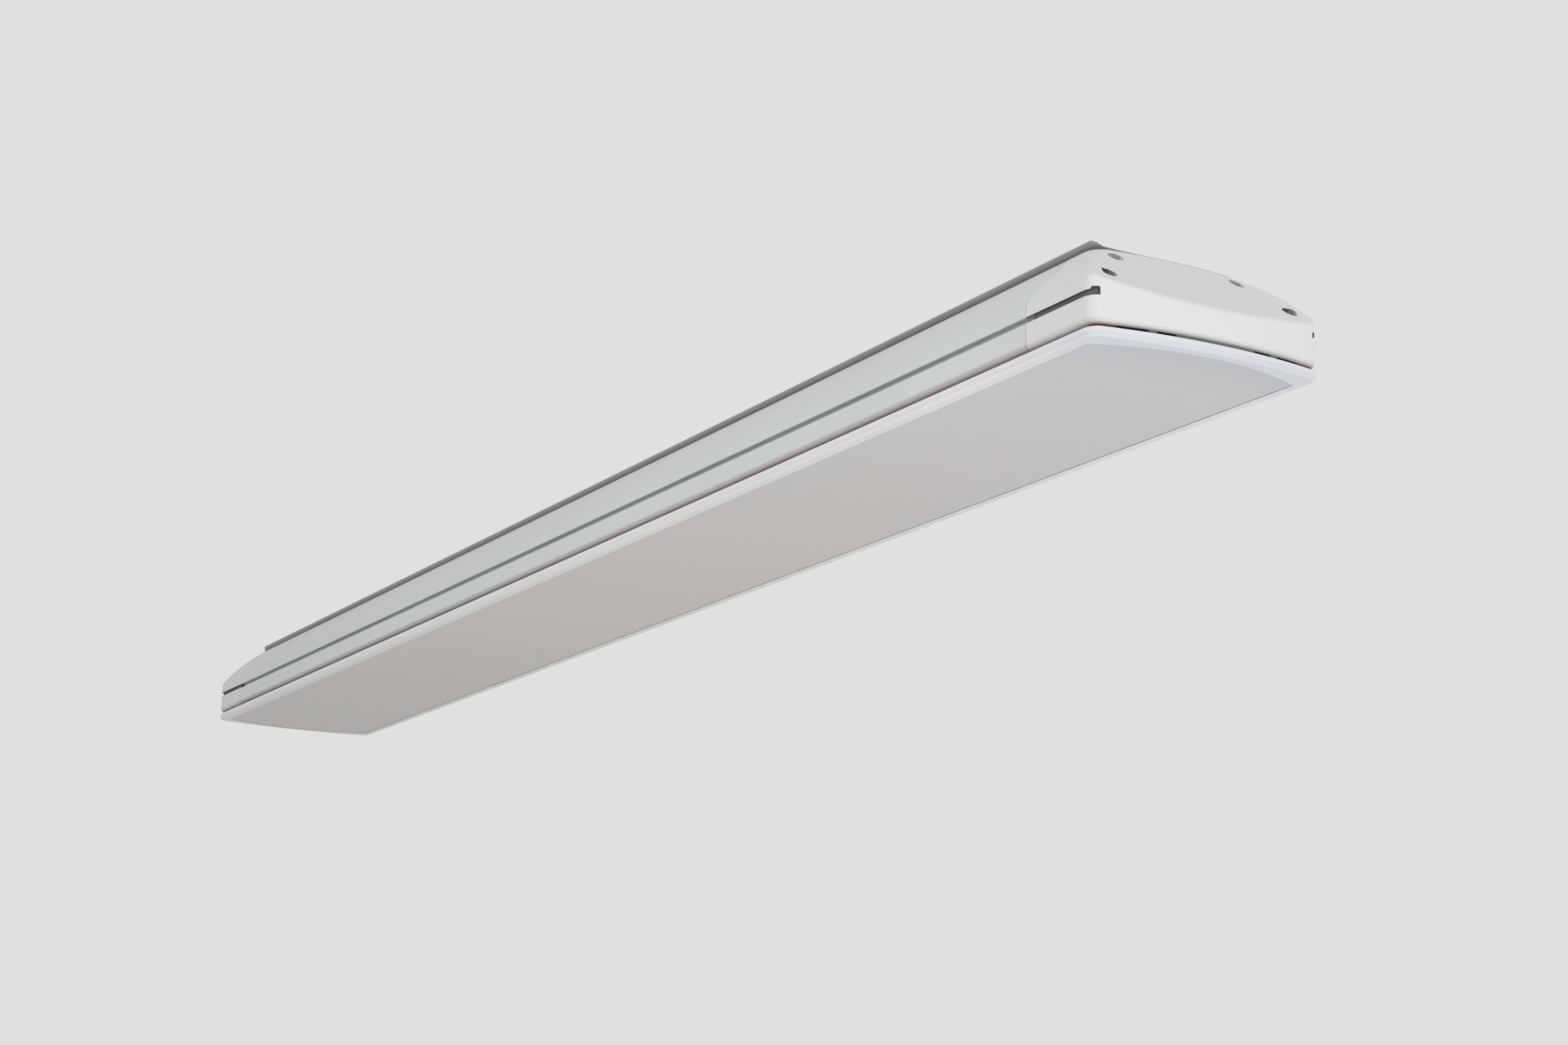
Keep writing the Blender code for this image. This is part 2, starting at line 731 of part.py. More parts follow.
def make_cap(side, end_frame, slope_frame):
    cap = place(f"end_cap_{side}", cap_mesh(), "white_moulding", parent=end_frame)
    recesses = []
    holes = []
    for down, across in screw_places().values():
        recesses.append((down, across, -RECESS_DEPTH, OVERCUT * 3, RECESS_RADIUS))
        low = -CAP_BACK - OVERCUT * 3
        holes.append((down, across, low, OVERCUT, SCREW_SHANK_RADIUS + GAP))
    cuts = (
        ("slots", slot_mesh(), end_frame),
        ("grooves", groove_mesh(), end_frame),
        ("recesses", rod_mesh("recesses", recesses, ROUND_SEGMENTS), slope_frame),
        ("screw_holes", rod_mesh("holes", holes, SMALL_SEGMENTS), slope_frame),
    )
    for label, mesh, frame in cuts:
        cutter = place_cutter(f"cap_{label}_{side}", mesh)
        cutter.parent = frame
        combine(cap, cutter)


def screw_profile(seat, height, radius, shank, tip):
    """Half section of a pan-head screw whose head rests at the seat's level."""
    head = seat + height
    return [
        (0, head),
        (radius * 0.75, head),
        (radius, head - height * 0.4),
        (radius, seat),
        (shank, seat),
        (shank, tip),
        (0, tip),
    ]


def make_cap_screws(side, slope_frame):
    tip = -CAP_BACK - GAP - CLAMP_PLATE_THICKNESS - SCREW_TIP
    profile = screw_profile(
        -RECESS_DEPTH + GAP, SCREW_HEAD_HEIGHT, SCREW_HEAD_RADIUS, SCREW_SHANK_RADIUS, tip
    )
    for label, (down, across) in screw_places().items():
        name = f"cap_screw_{side}_{label}"
        turned(name, profile, "steel", (down, across, 0), parent=slope_frame)


def make_clamp_plate(side, slope_frame):
    """Plate behind a cap's sloping end, into which the cap's screws go."""
    upper = UPPER_SCREW_RUN - CLAMP_PLATE_MARGIN
    lower = LOWER_SCREW_RUN + CLAMP_PLATE_MARGIN
    half_upper = UPPER_SCREW_SPREAD + CLAMP_PLATE_MARGIN
    half_lower = LOWER_SCREW_SPREAD + CLAMP_PLATE_MARGIN / 2
    outline = [
        (upper, -half_upper),
        (lower, -half_lower),
        (lower, half_lower),
        (upper, half_upper),
    ]
    holes = []
    for down, across in screw_places().values():
        radius = SCREW_SHANK_RADIUS + GAP
        holes.append(arc((down, across), radius, 0, 2 * math.pi, SMALL_SEGMENTS)[:-1])
    mesh = outline_mesh("clamp_plate", [outline] + holes, CLAMP_PLATE_THICKNESS)
    depth = -CAP_BACK - GAP - CLAMP_PLATE_THICKNESS / 2
    place(f"clamp_plate_{side}", mesh, "steel", (0, 0, depth), parent=slope_frame)


def make_end(side, turn):
    """Everything that closes one end of the housing."""
    end_frame = empty(f"end_{side}", rotation=(0, 0, turn))
    top_edge = (CAP_TOP_END, 0, Z_HOUSING_TOP)
    slope_frame = empty(f"slope_{side}", top_edge, (0, CAP_LEAN, 0), end_frame)
    make_cap(side, end_frame, slope_frame)
    make_cap_screws(side, slope_frame)
    make_clamp_plate(side, slope_frame)
    make_end_plate(side, end_frame)


def make_end_plate(side, end_frame):
    """Sheet that closes the housing, with holes for the heating tubes and the leads."""
    half = housing_inner(END_PLATE_FIT)
    foot = [
        (HALF_WIDTH - LIP_WIDTH, Z_LIP + END_PLATE_FIT),
        (HALF_WIDTH - LIP_WIDTH - REFLECTOR_FLANGE, Z_REFLECTOR - END_PLATE_SKIRT),
    ]
    profile = mirrored(half + foot)
    holes = []
    for row in (-1, 1):
        tube = (row * ROW_SPREAD, Z_TUBE)
        radius = TUBE_RADIUS + GAP * 2
        holes.append(arc(tube, radius, 0, 2 * math.pi, ROUND_SEGMENTS)[:-1])
        lead = (row * LEAD_RUN, Z_LEAD)
        holes.append(arc(lead, LEAD_HOLE_RADIUS, 0, 2 * math.pi, SMALL_SEGMENTS)[:-1])
    mesh = outline_mesh("end_plate", [profile] + holes, END_PLATE_THICKNESS)
    place(
        f"end_plate_{side}",
        mesh,
        "bright_aluminium",
        (END_PLATE_PLACE, 0, 0),
        (math.pi / 2, 0, math.pi / 2),
        end_frame,
    )


def make_rear_cover():
    """Shallow dark tray over the housing's flat top, with ramped ends and two slots."""
    low = Z_HOUSING_TOP + GAP
    half_width = HALF_TOP - GAP
    foot = top_end(GAP)
    rim = straight_end(
        half_width, COVER_TOP_NEAR, COVER_TOP_FAR, COVER_CORNER_RADIUS, COVER_EAR
    )
    sections = []
    for end, z in ((foot, low), (rim, Z_COVER_TOP)):
        sections.append([(x, y, z) for x, y in end] + [(-x, -y, z) for x, y in end])
    cover = place("rear_cover", loft_mesh("rear_cover", sections, closed=False), "dark_metal")
    ceiling = Z_COVER_TOP - COVER_WALL
    end = COVER_TOP_FAR - COVER_WALL
    hollow = (2 * end, 2 * (half_width - COVER_WALL), ceiling - low + OVERCUT)
    centre = (0, 0, (ceiling + low - OVERCUT) / 2)
    combine(cover, place_cutter("cover_hollow", box_mesh("hollow", hollow, centre)))
    slot = (TRAVEL * 2 + SHOE_LENGTH + 2 * GAP, SLOT_WIDTH, COVER_WALL + 2 * OVERCUT)
    for side, x in hanger_places().items():
        cutter = box_mesh("slot", slot, (x, 0, Z_COVER_TOP - COVER_WALL / 2))
        combine(cover, place_cutter(f"cover_slot_{side}", cutter))
    top = Z_COVER_TOP + OVERCUT
    hole = [(TERMINAL_PLACE, 0, ceiling - OVERCUT, top, WIRE_HOLE_RADIUS)]
    combine(cover, place_cutter("cover_wire_hole", rod_mesh("hole", hole, SMALL_SEGMENTS)))
    holes = []
    for x in cover_screw_places():
        holes.append((x, 0, ceiling - OVERCUT, top, COVER_SCREW_SHANK + GAP))
    for x in cover_bolt_places().values():
        holes.append((x, 0, ceiling - OVERCUT, top, COVER_BOLT_SHANK + GAP))
    mesh = rod_mesh("holes", holes, SMALL_SEGMENTS)
    combine(cover, place_cutter("cover_screw_holes", mesh))
    profile = screw_profile(
        Z_COVER_TOP + GAP,
        COVER_BOLT_HEIGHT,
        COVER_BOLT_RADIUS,
        COVER_BOLT_SHANK,
        Z_HOUSING_TOP - HOUSING_WALL - SCREW_TIP,
    )
    for label, x in cover_bolt_places().items():
        turned(f"cover_bolt_{label}", profile, "steel", (x, 0, 0))


def cover_bolt_places():
    """Bolts that hold the rear cover, and so the hangers, to the housing."""
    return {"left": -COVER_BOLT_SPREAD, "middle": 0, "right": COVER_BOLT_SPREAD}


def hanger_places():
    return {"left": -HANGER_SPACING / 2, "right": HANGER_SPACING / 2}


def make_hanger(side, x):
    """Shoe that slides under the cover, with its post, lock nut and ceiling plate."""
    frame = empty(f"hanger_{side}", (x, 0, 0))
    neck_width = SLOT_WIDTH - 2 * GAP
    shoe_low = Z_HOUSING_TOP + SLIDE_GAP
    shoe_high = Z_COVER_TOP - COVER_WALL - SLIDE_GAP
    neck_high = Z_COVER_TOP + NECK_RISE
    outline = [
        (-SHOE_WIDTH / 2, shoe_low),
        (SHOE_WIDTH / 2, shoe_low),
        (SHOE_WIDTH / 2, shoe_high),
        (neck_width / 2, shoe_high),
        (neck_width / 2, neck_high),
        (-neck_width / 2, neck_high),
        (-neck_width / 2, shoe_high),
        (-SHOE_WIDTH / 2, shoe_high),
    ]
    upright = (math.pi / 2, 0, math.pi / 2)
    mesh = outline_mesh("shoe", [outline], SHOE_LENGTH)
    shoe = place(f"hanger_shoe_{side}", mesh, "steel", rotation=upright, parent=frame)
    bore = [(0, 0, shoe_low + SHOE_FLOOR, neck_high + OVERCUT, POST_RADIUS + GAP)]
    cutter = place_cutter(f"shoe_bore_{side}", rod_mesh("bore", bore, ROUND_SEGMENTS))
    cutter.parent = frame
    combine(shoe, cutter)

    post_low = shoe_low + SHOE_FLOOR + GAP
    post_high = -GAP
    post = [(0, post_high), (POST_RADIUS, post_high), (POST_RADIUS, post_low), (0, post_low)]
    turned(f"hanger_post_{side}", post, "steel", parent=frame)

    nut_low = neck_high + GAP
    six = [(NUT_RADIUS * math.cos(a), NUT_RADIUS * math.sin(a)) for a in hexagon()]
    bore_loop = arc((0, 0), POST_RADIUS + GAP, 0, 2 * math.pi, ROUND_SEGMENTS)[:-1]
    nut = outline_mesh("nut", [six, bore_loop], NUT_HEIGHT)
    place(f"lock_nut_{side}", nut, "steel", (0, 0, nut_low + NUT_HEIGHT / 2), parent=frame)

    rim = rounded_rectangle(PLATE_LENGTH, PLATE_WIDTH, PLATE_CORNER)
    loops = [rim, bore_loop]
    for hole_x in (-PLATE_HOLE_SPACING / 2, PLATE_HOLE_SPACING / 2):
        hole = arc((hole_x, 0), PLATE_HOLE_RADIUS, 0, 2 * math.pi, SMALL_SEGMENTS)[:-1]
        loops.append(hole)
    plate = outline_mesh("plate", loops, PLATE_THICKNESS)
    low = -PLATE_THICKNESS / 2
    place(f"ceiling_plate_{side}", plate, "dark_metal", (0, 0, low), parent=frame)


def hexagon():
    return [math.pi / 3 * i for i in range(6)]


def rounded_rectangle(length, width, radius):
    half_length = length / 2 - radius
    half_width = width / 2 - radius
    corners = ((1, -1, -90), (1, 1, 0), (-1, 1, 90), (-1, -1, 180))
    points = []
    for along, across, start in corners:
        centre = (along * half_length, across * half_width)
        angle = math.radians(start)
        points += arc(centre, radius, angle, angle + math.pi / 2, 4)
    return points


def make_frame():
    """Bezel ring: rounded outer edge, rebate for the gasket, opening for the glass."""
    fillet = arc(
        (FRAME_EDGE_RADIUS, FRAME_EDGE_RADIUS), FRAME_EDGE_RADIUS, -math.pi / 2, -math.pi, 3
    )
    rings = [(body_outline(inset), Z_FRONT + rise) for inset, rise in fillet]
    rings += [
        (body_outline(0), Z_FRAME_TOP - FRAME_CHAMFER),
        (body_outline(FRAME_CHAMFER), Z_FRAME_TOP),
        (body_outline(FRAME_WALL), Z_FRAME_TOP),
        (body_outline(FRAME_WALL), Z_GLASS_BACK),
        (glass_outline(GAP), Z_GLASS_BACK),
        (glass_outline(GAP), Z_FRONT + FRAME_CHAMFER),
        (glass_outline(GAP + FRAME_CHAMFER), Z_FRONT),
    ]
    sections = []
    for i in range(len(rings[0][0])):
        sections.append([(*ring[i], z) for ring, z in rings])
    place("front_frame", loft_mesh("front_frame", sections, closed=True), "white_paint")


def make_glass():
    mesh = outline_mesh("glass", [glass_outline(0)], GLASS_THICKNESS)
    glass = place("front_glass", mesh, "frosted_glass")
    glass.location.z = Z_GLASS_BACK - GLASS_THICKNESS / 2


def make_gasket():
    """Flat seal behind the joint between the frame and the glass."""
    loops = [body_outline(FRAME_WALL + GAP), glass_outline(-GASKET_OVERLAP)]
    mesh = outline_mesh("gasket", loops, GASKET_THICKNESS)
    gasket = place("glass_gasket", mesh, "black_rubber")
    gasket.location.z = Z_GLASS_BACK + GAP + GASKET_THICKNESS / 2


def make_side_clip(name, x, y, turn):
    """Z-shaped clip: its arm spaces the frame from the housing, its foot holds the glass."""
    frame = empty(f"{name}_place", (x, y, 0), (0, 0, turn))
    outer = -FRAME_WALL + CLIP_GRIP
    inner = -FRAME_WALL - CLIP_REACH
    outline = [
        (outer, Z_CLIP_LOW),
        (outer, Z_CLIP_HIGH),
        (inner, Z_CLIP_HIGH),
        (inner, Z_CLIP_FOOT),
        (inner + CLIP_FOOT, Z_CLIP_FOOT),
        (inner + CLIP_FOOT, Z_CLIP_LOW),
    ]
    mesh = outline_mesh("clip", [outline], CLIP_LENGTH)
    place(name, mesh, "steel", rotation=(math.pi / 2, 0, math.pi / 2), parent=frame)


def bow_point(y, inset):
    """Plan point on the bar's bowed end, set back from its edge."""
    radius = END_BOW_RADIUS - inset
    return (APEX - END_BOW_RADIUS + math.sqrt(radius**2 - y**2), y)


def make_end_clip(side, turn):
    """Clip across an end: a strip with a broad tongue, two tabs and a foot on the glass."""
    half_tongue = END_CLIP_TONGUE / 2
    tab_inner = END_CLIP_TAB_SPREAD - END_CLIP_TAB / 2
    tab_outer = END_CLIP_TAB_SPREAD + END_CLIP_TAB / 2
    back = END_CLIP_STRIP + CLIP_FOOT
    half = [
        bow_point(0, END_CLIP_INSET),
        bow_point(half_tongue / 2, END_CLIP_INSET),
        bow_point(half_tongue, END_CLIP_INSET),
        bow_point(half_tongue, END_CLIP_STRIP),
        bow_point(tab_inner, END_CLIP_STRIP),
        bow_point(tab_inner, END_CLIP_INSET),
        bow_point(tab_outer, END_CLIP_INSET),
        bow_point(tab_outer, back),
        bow_point(half_tongue / 2, back),
    ]
    outline = half + [(x, -y) for x, y in reversed(half) if y > 0]
    thickness = Z_CLIP_HIGH - Z_CLIP_LOW
    mesh = outline_mesh("clip", [outline], thickness)
    level = (0, 0, (Z_CLIP_HIGH + Z_CLIP_LOW) / 2)
    clip = place(f"frame_clip_{side}", mesh, "steel", level, (0, 0, turn))
    foot = (CLIP_FOOT, END_CLIP_FOOT_LENGTH, Z_CLIP_HIGH - Z_CLIP_FOOT - GAP)
    foot_x = bow_point(END_CLIP_FOOT_LENGTH / 2, back)[0] + CLIP_FOOT / 2
    centre = (foot_x, 0, Z_CLIP_FOOT + foot[2] / 2)
    join = place_cutter(f"clip_foot_{side}", box_mesh("foot", foot, centre))
    join.rotation_euler = (0, 0, turn)
    combine(clip, join, "UNION")


def make_clips():
    for side, turn, y in (("far", 0, HALF_WIDTH), ("near", math.pi, -HALF_WIDTH)):
        for label, x in (("left", -CLIP_SPACING), ("middle", 0), ("right", CLIP_SPACING)):
            make_side_clip(f"frame_clip_{side}_{label}", x, y, turn)
    make_end_clip("right", 0)
    make_end_clip("left", math.pi)


def reflector_profile(row):
    """Closed (y, z) outline of one parabolic trough with its two foot flanges."""
    half = (REFLECTOR_EDGE - REFLECTOR_GAP / 2) / 2
    outer = []
    inner = []
    for i in range(REFLECTOR_STEPS + 1):
        t = 2 * i / REFLECTOR_STEPS - 1
        outer.append((half * t, Z_REFLECTOR + REFLECTOR_RISE * (1 - t**2)))
        bare = (half - REFLECTOR_SHEET) * t
        inner.append((bare, Z_REFLECTOR + (REFLECTOR_RISE - REFLECTOR_SHEET) * (1 - t**2)))
    sheet = Z_REFLECTOR + REFLECTOR_SHEET
    flange = REFLECTOR_FLANGE - GAP
    outer[0] = (-half, sheet)
    outer[-1] = (half, sheet)
    rim = [(-half - flange, sheet)] + outer + [(half + flange, sheet)]
    back = [(half + flange, Z_REFLECTOR)] + inner[::-1] + [(-half - flange, Z_REFLECTOR)]
    return [(row * ROW_SPREAD + y, z) for y, z in rim + back]


def make_heat_pack():
    """Reflectors, insulation blanket and heat shield, stacked under the housing's top."""
    for side, row in (("near", -1), ("far", 1)):
        along_x(f"reflector_{side}", reflector_profile(row), REFLECTOR_LENGTH, "bright_aluminium")
    blanket = (REFLECTOR_LENGTH, BLANKET_WIDTH, BLANKET_THICKNESS)
    mesh = box_mesh("blanket", blanket, (0, 0, Z_BLANKET + BLANKET_THICKNESS / 2))
    place("insulation_blanket", mesh, "blanket")
    shield = (REFLECTOR_LENGTH, SHIELD_WIDTH, SHIELD_THICKNESS)
    mesh = box_mesh("shield", shield, (0, 0, Z_SHIELD + SHIELD_THICKNESS / 2))
    place("heat_shield", mesh, "steel")
    low = Z_SHIELD + SHIELD_THICKNESS + GAP
    high = low + CUTOUT_HEIGHT
    profile = [
        (0, high),
        (CUTOUT_RADIUS * 0.6, high),
        (CUTOUT_RADIUS * 0.6, low + CUTOUT_HEIGHT * 0.5),
        (CUTOUT_RADIUS, low + CUTOUT_HEIGHT * 0.5),
        (CUTOUT_RADIUS, low),
        (0, low),
    ]
    turned("thermal_cutout", profile, "black_plastic", (CUTOUT_PLACE, 0, 0))


def make_tubes():
    """Two quartz tubes in line in each reflector, held by ceramics at both ends."""
    end_inside = END_PLATE_PLACE + END_PLATE_THICKNESS / 2 + GAP
    tube_end = end_inside + TUBE_INSERT
    tube_start = CENTRE_CERAMIC_GAP / 2
    length = tube_end - tube_start
    height = Z_REFLECTOR_CREST - REFLECTOR_SHEET - GAP - Z_TUBE + CERAMIC_WIDTH / 2
    for side, row in (("near", -1), ("far", 1)):
        y = row * ROW_SPREAD
        for end, sign, turn in (("right", 1, 0), ("left", -1, math.pi)):
            wall = [
                (TUBE_RADIUS, length / 2),
                (TUBE_RADIUS, -length / 2),
                (TUBE_BORE, -length / 2),
                (TUBE_BORE, length / 2),
            ]
            middle = sign * (tube_start + tube_end) / 2
            lying = (0, math.pi / 2, 0)
            turned(f"heating_tube_{side}_{end}", wall, "quartz", (middle, y, Z_TUBE), lying)
            frame = empty(f"ceramic_{side}_{end}_place", (0, y, 0), (0, 0, turn))
            size = (END_CERAMIC_LENGTH, CERAMIC_WIDTH, CERAMIC_WIDTH)
            centre = (end_inside + END_CERAMIC_LENGTH / 2, 0, Z_TUBE)
            mesh = box_mesh("ceramic", size, centre)
            block = place(f"end_ceramic_{side}_{end}", mesh, "ceramic", parent=frame)
            bore = rod_mesh(
                "bore",
                [(0, 0, -OVERCUT, TUBE_INSERT + GAP, TUBE_RADIUS + GAP)],
                ROUND_SEGMENTS,
            )
            cutter = place_cutter(f"ceramic_bore_{side}_{end}", bore)
            cutter.location = (end_inside, 0, Z_TUBE)
            cutter.rotation_euler = lying
            cutter.parent = frame
            combine(block, cutter)
        size = (CENTRE_CERAMIC_LENGTH, CERAMIC_WIDTH, height)
        top = Z_REFLECTOR_CREST - REFLECTOR_SHEET - CREST_RELIEF
        mesh = box_mesh("ceramic", size, (0, y, top - height / 2))
        block = place(f"centre_ceramic_{side}", mesh, "ceramic")
        through = CENTRE_CERAMIC_LENGTH / 2 + OVERCUT
        bore = rod_mesh("bore", [(0, 0, -through, through, TUBE_RADIUS + GAP)], ROUND_SEGMENTS)
        cutter = place_cutter(f"centre_bore_{side}", bore)
        cutter.location = (0, y, Z_TUBE)
        cutter.rotation_euler = (0, math.pi / 2, 0)
        combine(block, cutter)


def cover_screw_places():
    return [TERMINAL_PLACE - COVER_SCREW_SPACING / 2, TERMINAL_PLACE + COVER_SCREW_SPACING / 2]


def make_terminal():
    """Terminal cover on the rear cover, with its block, gland and two screws."""
    base = Z_COVER_TOP + GAP
    centre_z = base + TERMINAL_HEIGHT / 2
    rim = rounded_rectangle(TERMINAL_LENGTH, TERMINAL_WIDTH, TERMINAL_CORNER)
    mesh = outline_mesh("terminal_cover", [rim], TERMINAL_HEIGHT)
    cover = place("terminal_cover", mesh, "dark_metal", (TERMINAL_PLACE, 0, centre_z))
    cavity = (
        COVER_SCREW_SPACING - 2 * TERMINAL_PILLAR,
        TERMINAL_WIDTH - 2 * TERMINAL_WALL,
        TERMINAL_HEIGHT - TERMINAL_WALL + OVERCUT,
    )
    centre = (TERMINAL_PLACE, 0, centre_z - (TERMINAL_WALL + OVERCUT) / 2)
    combine(cover, place_cutter("terminal_cavity", box_mesh("cavity", cavity, centre)))
    gland_x = TERMINAL_PLACE - TERMINAL_LENGTH / 2
    port_length = TERMINAL_LENGTH / 2 - cavity[0] / 2 + 2 * OVERCUT
    port = [(0, 0, -OVERCUT, port_length, GLAND_THREAD + GAP)]
    cutter = place_cutter("terminal_port", rod_mesh("port", port, ROUND_SEGMENTS))
    cutter.location = (gland_x, GLAND_OFFSET, centre_z)
    cutter.rotation_euler = (0, math.pi / 2, 0)
    combine(cover, cutter)
    holes = []
    top = base + TERMINAL_HEIGHT
    for x in cover_screw_places():
        holes.append((x, 0, base - OVERCUT, top + OVERCUT, COVER_SCREW_SHANK + GAP))
    cutter = place_cutter("terminal_screw_holes", rod_mesh("holes", holes, SMALL_SEGMENTS))
    combine(cover, cutter)
    make_gland(gland_x, centre_z)
    make_cover_screws(top)
    size = (BLOCK_LENGTH, BLOCK_WIDTH, BLOCK_HEIGHT)
    block_x = TERMINAL_PLACE + WIRE_HOLE_RADIUS + BLOCK_LENGTH / 2 + BLOCK_CLEARANCE
    mesh = box_mesh("block", size, (block_x, 0, Z_COVER_TOP + GAP + BLOCK_HEIGHT / 2))
    bevel(place("terminal_block", mesh, "black_plastic"), 0.0008)


def make_gland(x, z):
    """Cable gland through the end wall of the terminal cover, with an open bore."""
    out = GLAND_LENGTH
    profile = [
        (GLAND_BORE, out),
        (GLAND_RADIUS * 0.8, out),
        (GLAND_RADIUS, out - GLAND_RADIUS * 0.4),
        (GLAND_RADIUS, GAP),
        (GLAND_THREAD, GAP),
        (GLAND_THREAD, -GLAND_ENTRY),
        (GLAND_BORE, -GLAND_ENTRY),
    ]
    turned("cable_gland", profile, "black_plastic", (x, GLAND_OFFSET, z), (0, -math.pi / 2, 0))


def make_cover_screws(top):
    profile = screw_profile(
        top + GAP,
        COVER_SCREW_HEIGHT,
        COVER_SCREW_RADIUS,
        COVER_SCREW_SHANK,
        Z_COVER_TOP - COVER_WALL,
    )
    for label, x in zip(("left", "right"), cover_screw_places()):
        turned(f"terminal_screw_{label}", profile, "steel", (x, 0, 0))


def make_leads():
    """Leads from the terminal block down through the housing to the right-hand ceramics."""
    start_z = Z_COVER_TOP + GAP + BLOCK_HEIGHT / 2
    block_face = TERMINAL_PLACE + WIRE_HOLE_RADIUS + BLOCK_CLEARANCE - GAP
    ceramic_face = END_PLATE_PLACE + END_PLATE_THICKNESS / 2 + END_CERAMIC_LENGTH + 2 * GAP
    turn_x = ceramic_face + LEAD_LOOP
    for side, row in (("near", -1), ("far", 1)):
        entry = row * LEAD_SPREAD / 2
        run = row * LEAD_RUN
        points = [
            (block_face, entry, start_z),
            (TERMINAL_PLACE + LEAD_SPREAD / 2, entry, start_z),
            (TERMINAL_PLACE, entry, start_z - LEAD_SPREAD / 2),
            (TERMINAL_PLACE, entry, Z_LEAD + LEAD_SPREAD / 2),
            (TERMINAL_PLACE + LEAD_SPREAD / 2, row * LEAD_SPREAD, Z_LEAD),
            (TERMINAL_PLACE + LEAD_RUN / 2, run - row * LEAD_SPREAD, Z_LEAD),
            (TERMINAL_PLACE + LEAD_RUN, run, Z_LEAD),
            (turn_x - LEAD_SPREAD, run, Z_LEAD),
            (turn_x, run, Z_LEAD - LEAD_SPREAD),
            (turn_x, mix(run, row * ROW_SPREAD, 0.5), mix(Z_LEAD, Z_TUBE, 0.6)),
            (turn_x, row * ROW_SPREAD, Z_TUBE + LEAD_SPREAD),
            (turn_x - LEAD_SPREAD / 2, row * ROW_SPREAD, Z_TUBE),
            (ceramic_face, row * ROW_SPREAD, Z_TUBE),
        ]
        mesh = tube_curve(f"lead_{side}", points, LEAD_RADIUS)
        place(f"lead_{side}", mesh, "lead_sleeve")


clear_scene()
PARTS = new_collection("radiant_heater")
CUTTERS = new_collection("cutters")
make_frame()
make_glass()
make_gasket()
make_clips()
make_housing()
make_end("right", 0)
make_end("left", math.pi)
make_heat_pack()
make_tubes()
make_rear_cover()
for hanger_side, hanger_x in hanger_places().items():
    make_hanger(hanger_side, hanger_x)
make_terminal()
make_leads()
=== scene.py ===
"""Looks of the ceiling-hung radiant heater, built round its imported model.

Lengths are metres in the part's own frame. +X runs towards the terminal cover, +Y from the
near side to the far side and +Z up, with the origin in the ceiling plane. Each new piece is
a surface worked out on a grid of two parameters.
"""

import json
import math

import bmesh
import bpy
import numpy as np
from mathutils import Matrix, Vector


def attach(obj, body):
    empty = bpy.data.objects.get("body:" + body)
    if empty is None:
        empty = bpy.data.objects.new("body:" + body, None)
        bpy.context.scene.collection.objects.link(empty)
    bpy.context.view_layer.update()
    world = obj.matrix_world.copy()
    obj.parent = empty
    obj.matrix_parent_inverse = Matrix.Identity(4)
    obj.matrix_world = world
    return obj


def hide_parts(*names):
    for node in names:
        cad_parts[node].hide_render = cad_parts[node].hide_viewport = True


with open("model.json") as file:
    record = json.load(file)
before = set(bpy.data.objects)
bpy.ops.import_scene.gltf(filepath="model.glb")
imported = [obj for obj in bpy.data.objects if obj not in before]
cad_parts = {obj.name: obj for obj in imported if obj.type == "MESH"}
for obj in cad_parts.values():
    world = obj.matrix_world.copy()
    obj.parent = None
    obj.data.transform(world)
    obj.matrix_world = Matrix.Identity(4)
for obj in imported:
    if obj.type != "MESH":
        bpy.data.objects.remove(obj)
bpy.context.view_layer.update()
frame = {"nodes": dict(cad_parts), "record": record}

# Plan of the bar
APEX = 0.905
HALF_WIDTH = 0.095
END_BOW = 0.420
PLAN_CORNER = 0.010
SEAM = 0.8193
GAP = 0.0003
HALF_TOP = 0.0605
CAP_TOP_END = 0.8549
CAP_TOP_BOW = 0.400
CAP_TOP_CORNER = 0.012

# Levels, from the ceiling down
COVER_TOP = -0.022
HOUSING_TOP = -0.029
SHOULDER = -0.0649
HOUSING_BOTTOM = -0.0995
FRAME_TOP = -0.1015
FRONT = -0.1085
GLASS_BACK = -0.1043

# Housing section
WALL = 0.0024
FOLD_RADIUS = 0.0008
SHOULDER_RADIUS = 0.0135
HEM_RADIUS = 0.005
LIP_WIDTH = 0.015
GROOVE_RISE = 0.019
GROOVE_OPENING = 0.0043
GROOVE_DEPTH = 0.005
EDGE = 0.0004
LEVEL_FACE = 0.98
TILTED_FACE = 0.95
SEAM_FACE = 0.90
TURNING_FACE = 0.85

# End caps
CAP_WALL = 0.0026
CAP_WEDGE = 0.009
CAP_EDGE = 0.0022
CAP_FLANGE = 0.0024
CAP_FLANGE_WIDTH = 0.013
CAP_SLOPE = 0.945
CAP_GROOVE_DEPTH = 0.0016
RIDGE_RADIUS = 0.011
RIDGE_RISE = 0.6
RIDGE_STEPS = 10
SLOT_START = 0.0083
SLOT_END = 0.8955
SLOT_HEAD = 0.0060
SLOT_HEAD_LENGTH = 0.0042
SLOT_DEPTH = 0.0022
SLOT_STEPS = 6
SLOT_HEAD_TURN = 0.10
SLOT_END_DROP = 0.0008
GROOVE_OVERLAP = 0.0005
TOOL_REACH = 0.002
RECESS_RADIUS = 0.00575
RECESS_DEPTH = 0.0055
RECESS_REACH = 0.007
UPPER_SCREW = (0.0105, 0.051)
LOWER_SCREW = (0.0454, 0.0756)
# Painted shade on the screw recesses' walls: darker on one side, by the angle round the pocket's
# axis
POCKET_ANGLES = (80.0, 115.0, 150.0, 250.0)
POCKET_SHADES = {
    "lower": ("white_moulding", "pale_pocket_shade", "half_pocket_shade", "pocket_shade"),
    "upper": ("white_moulding", "white_moulding", "pale_pocket_shade", "pale_pocket_shade"),
}

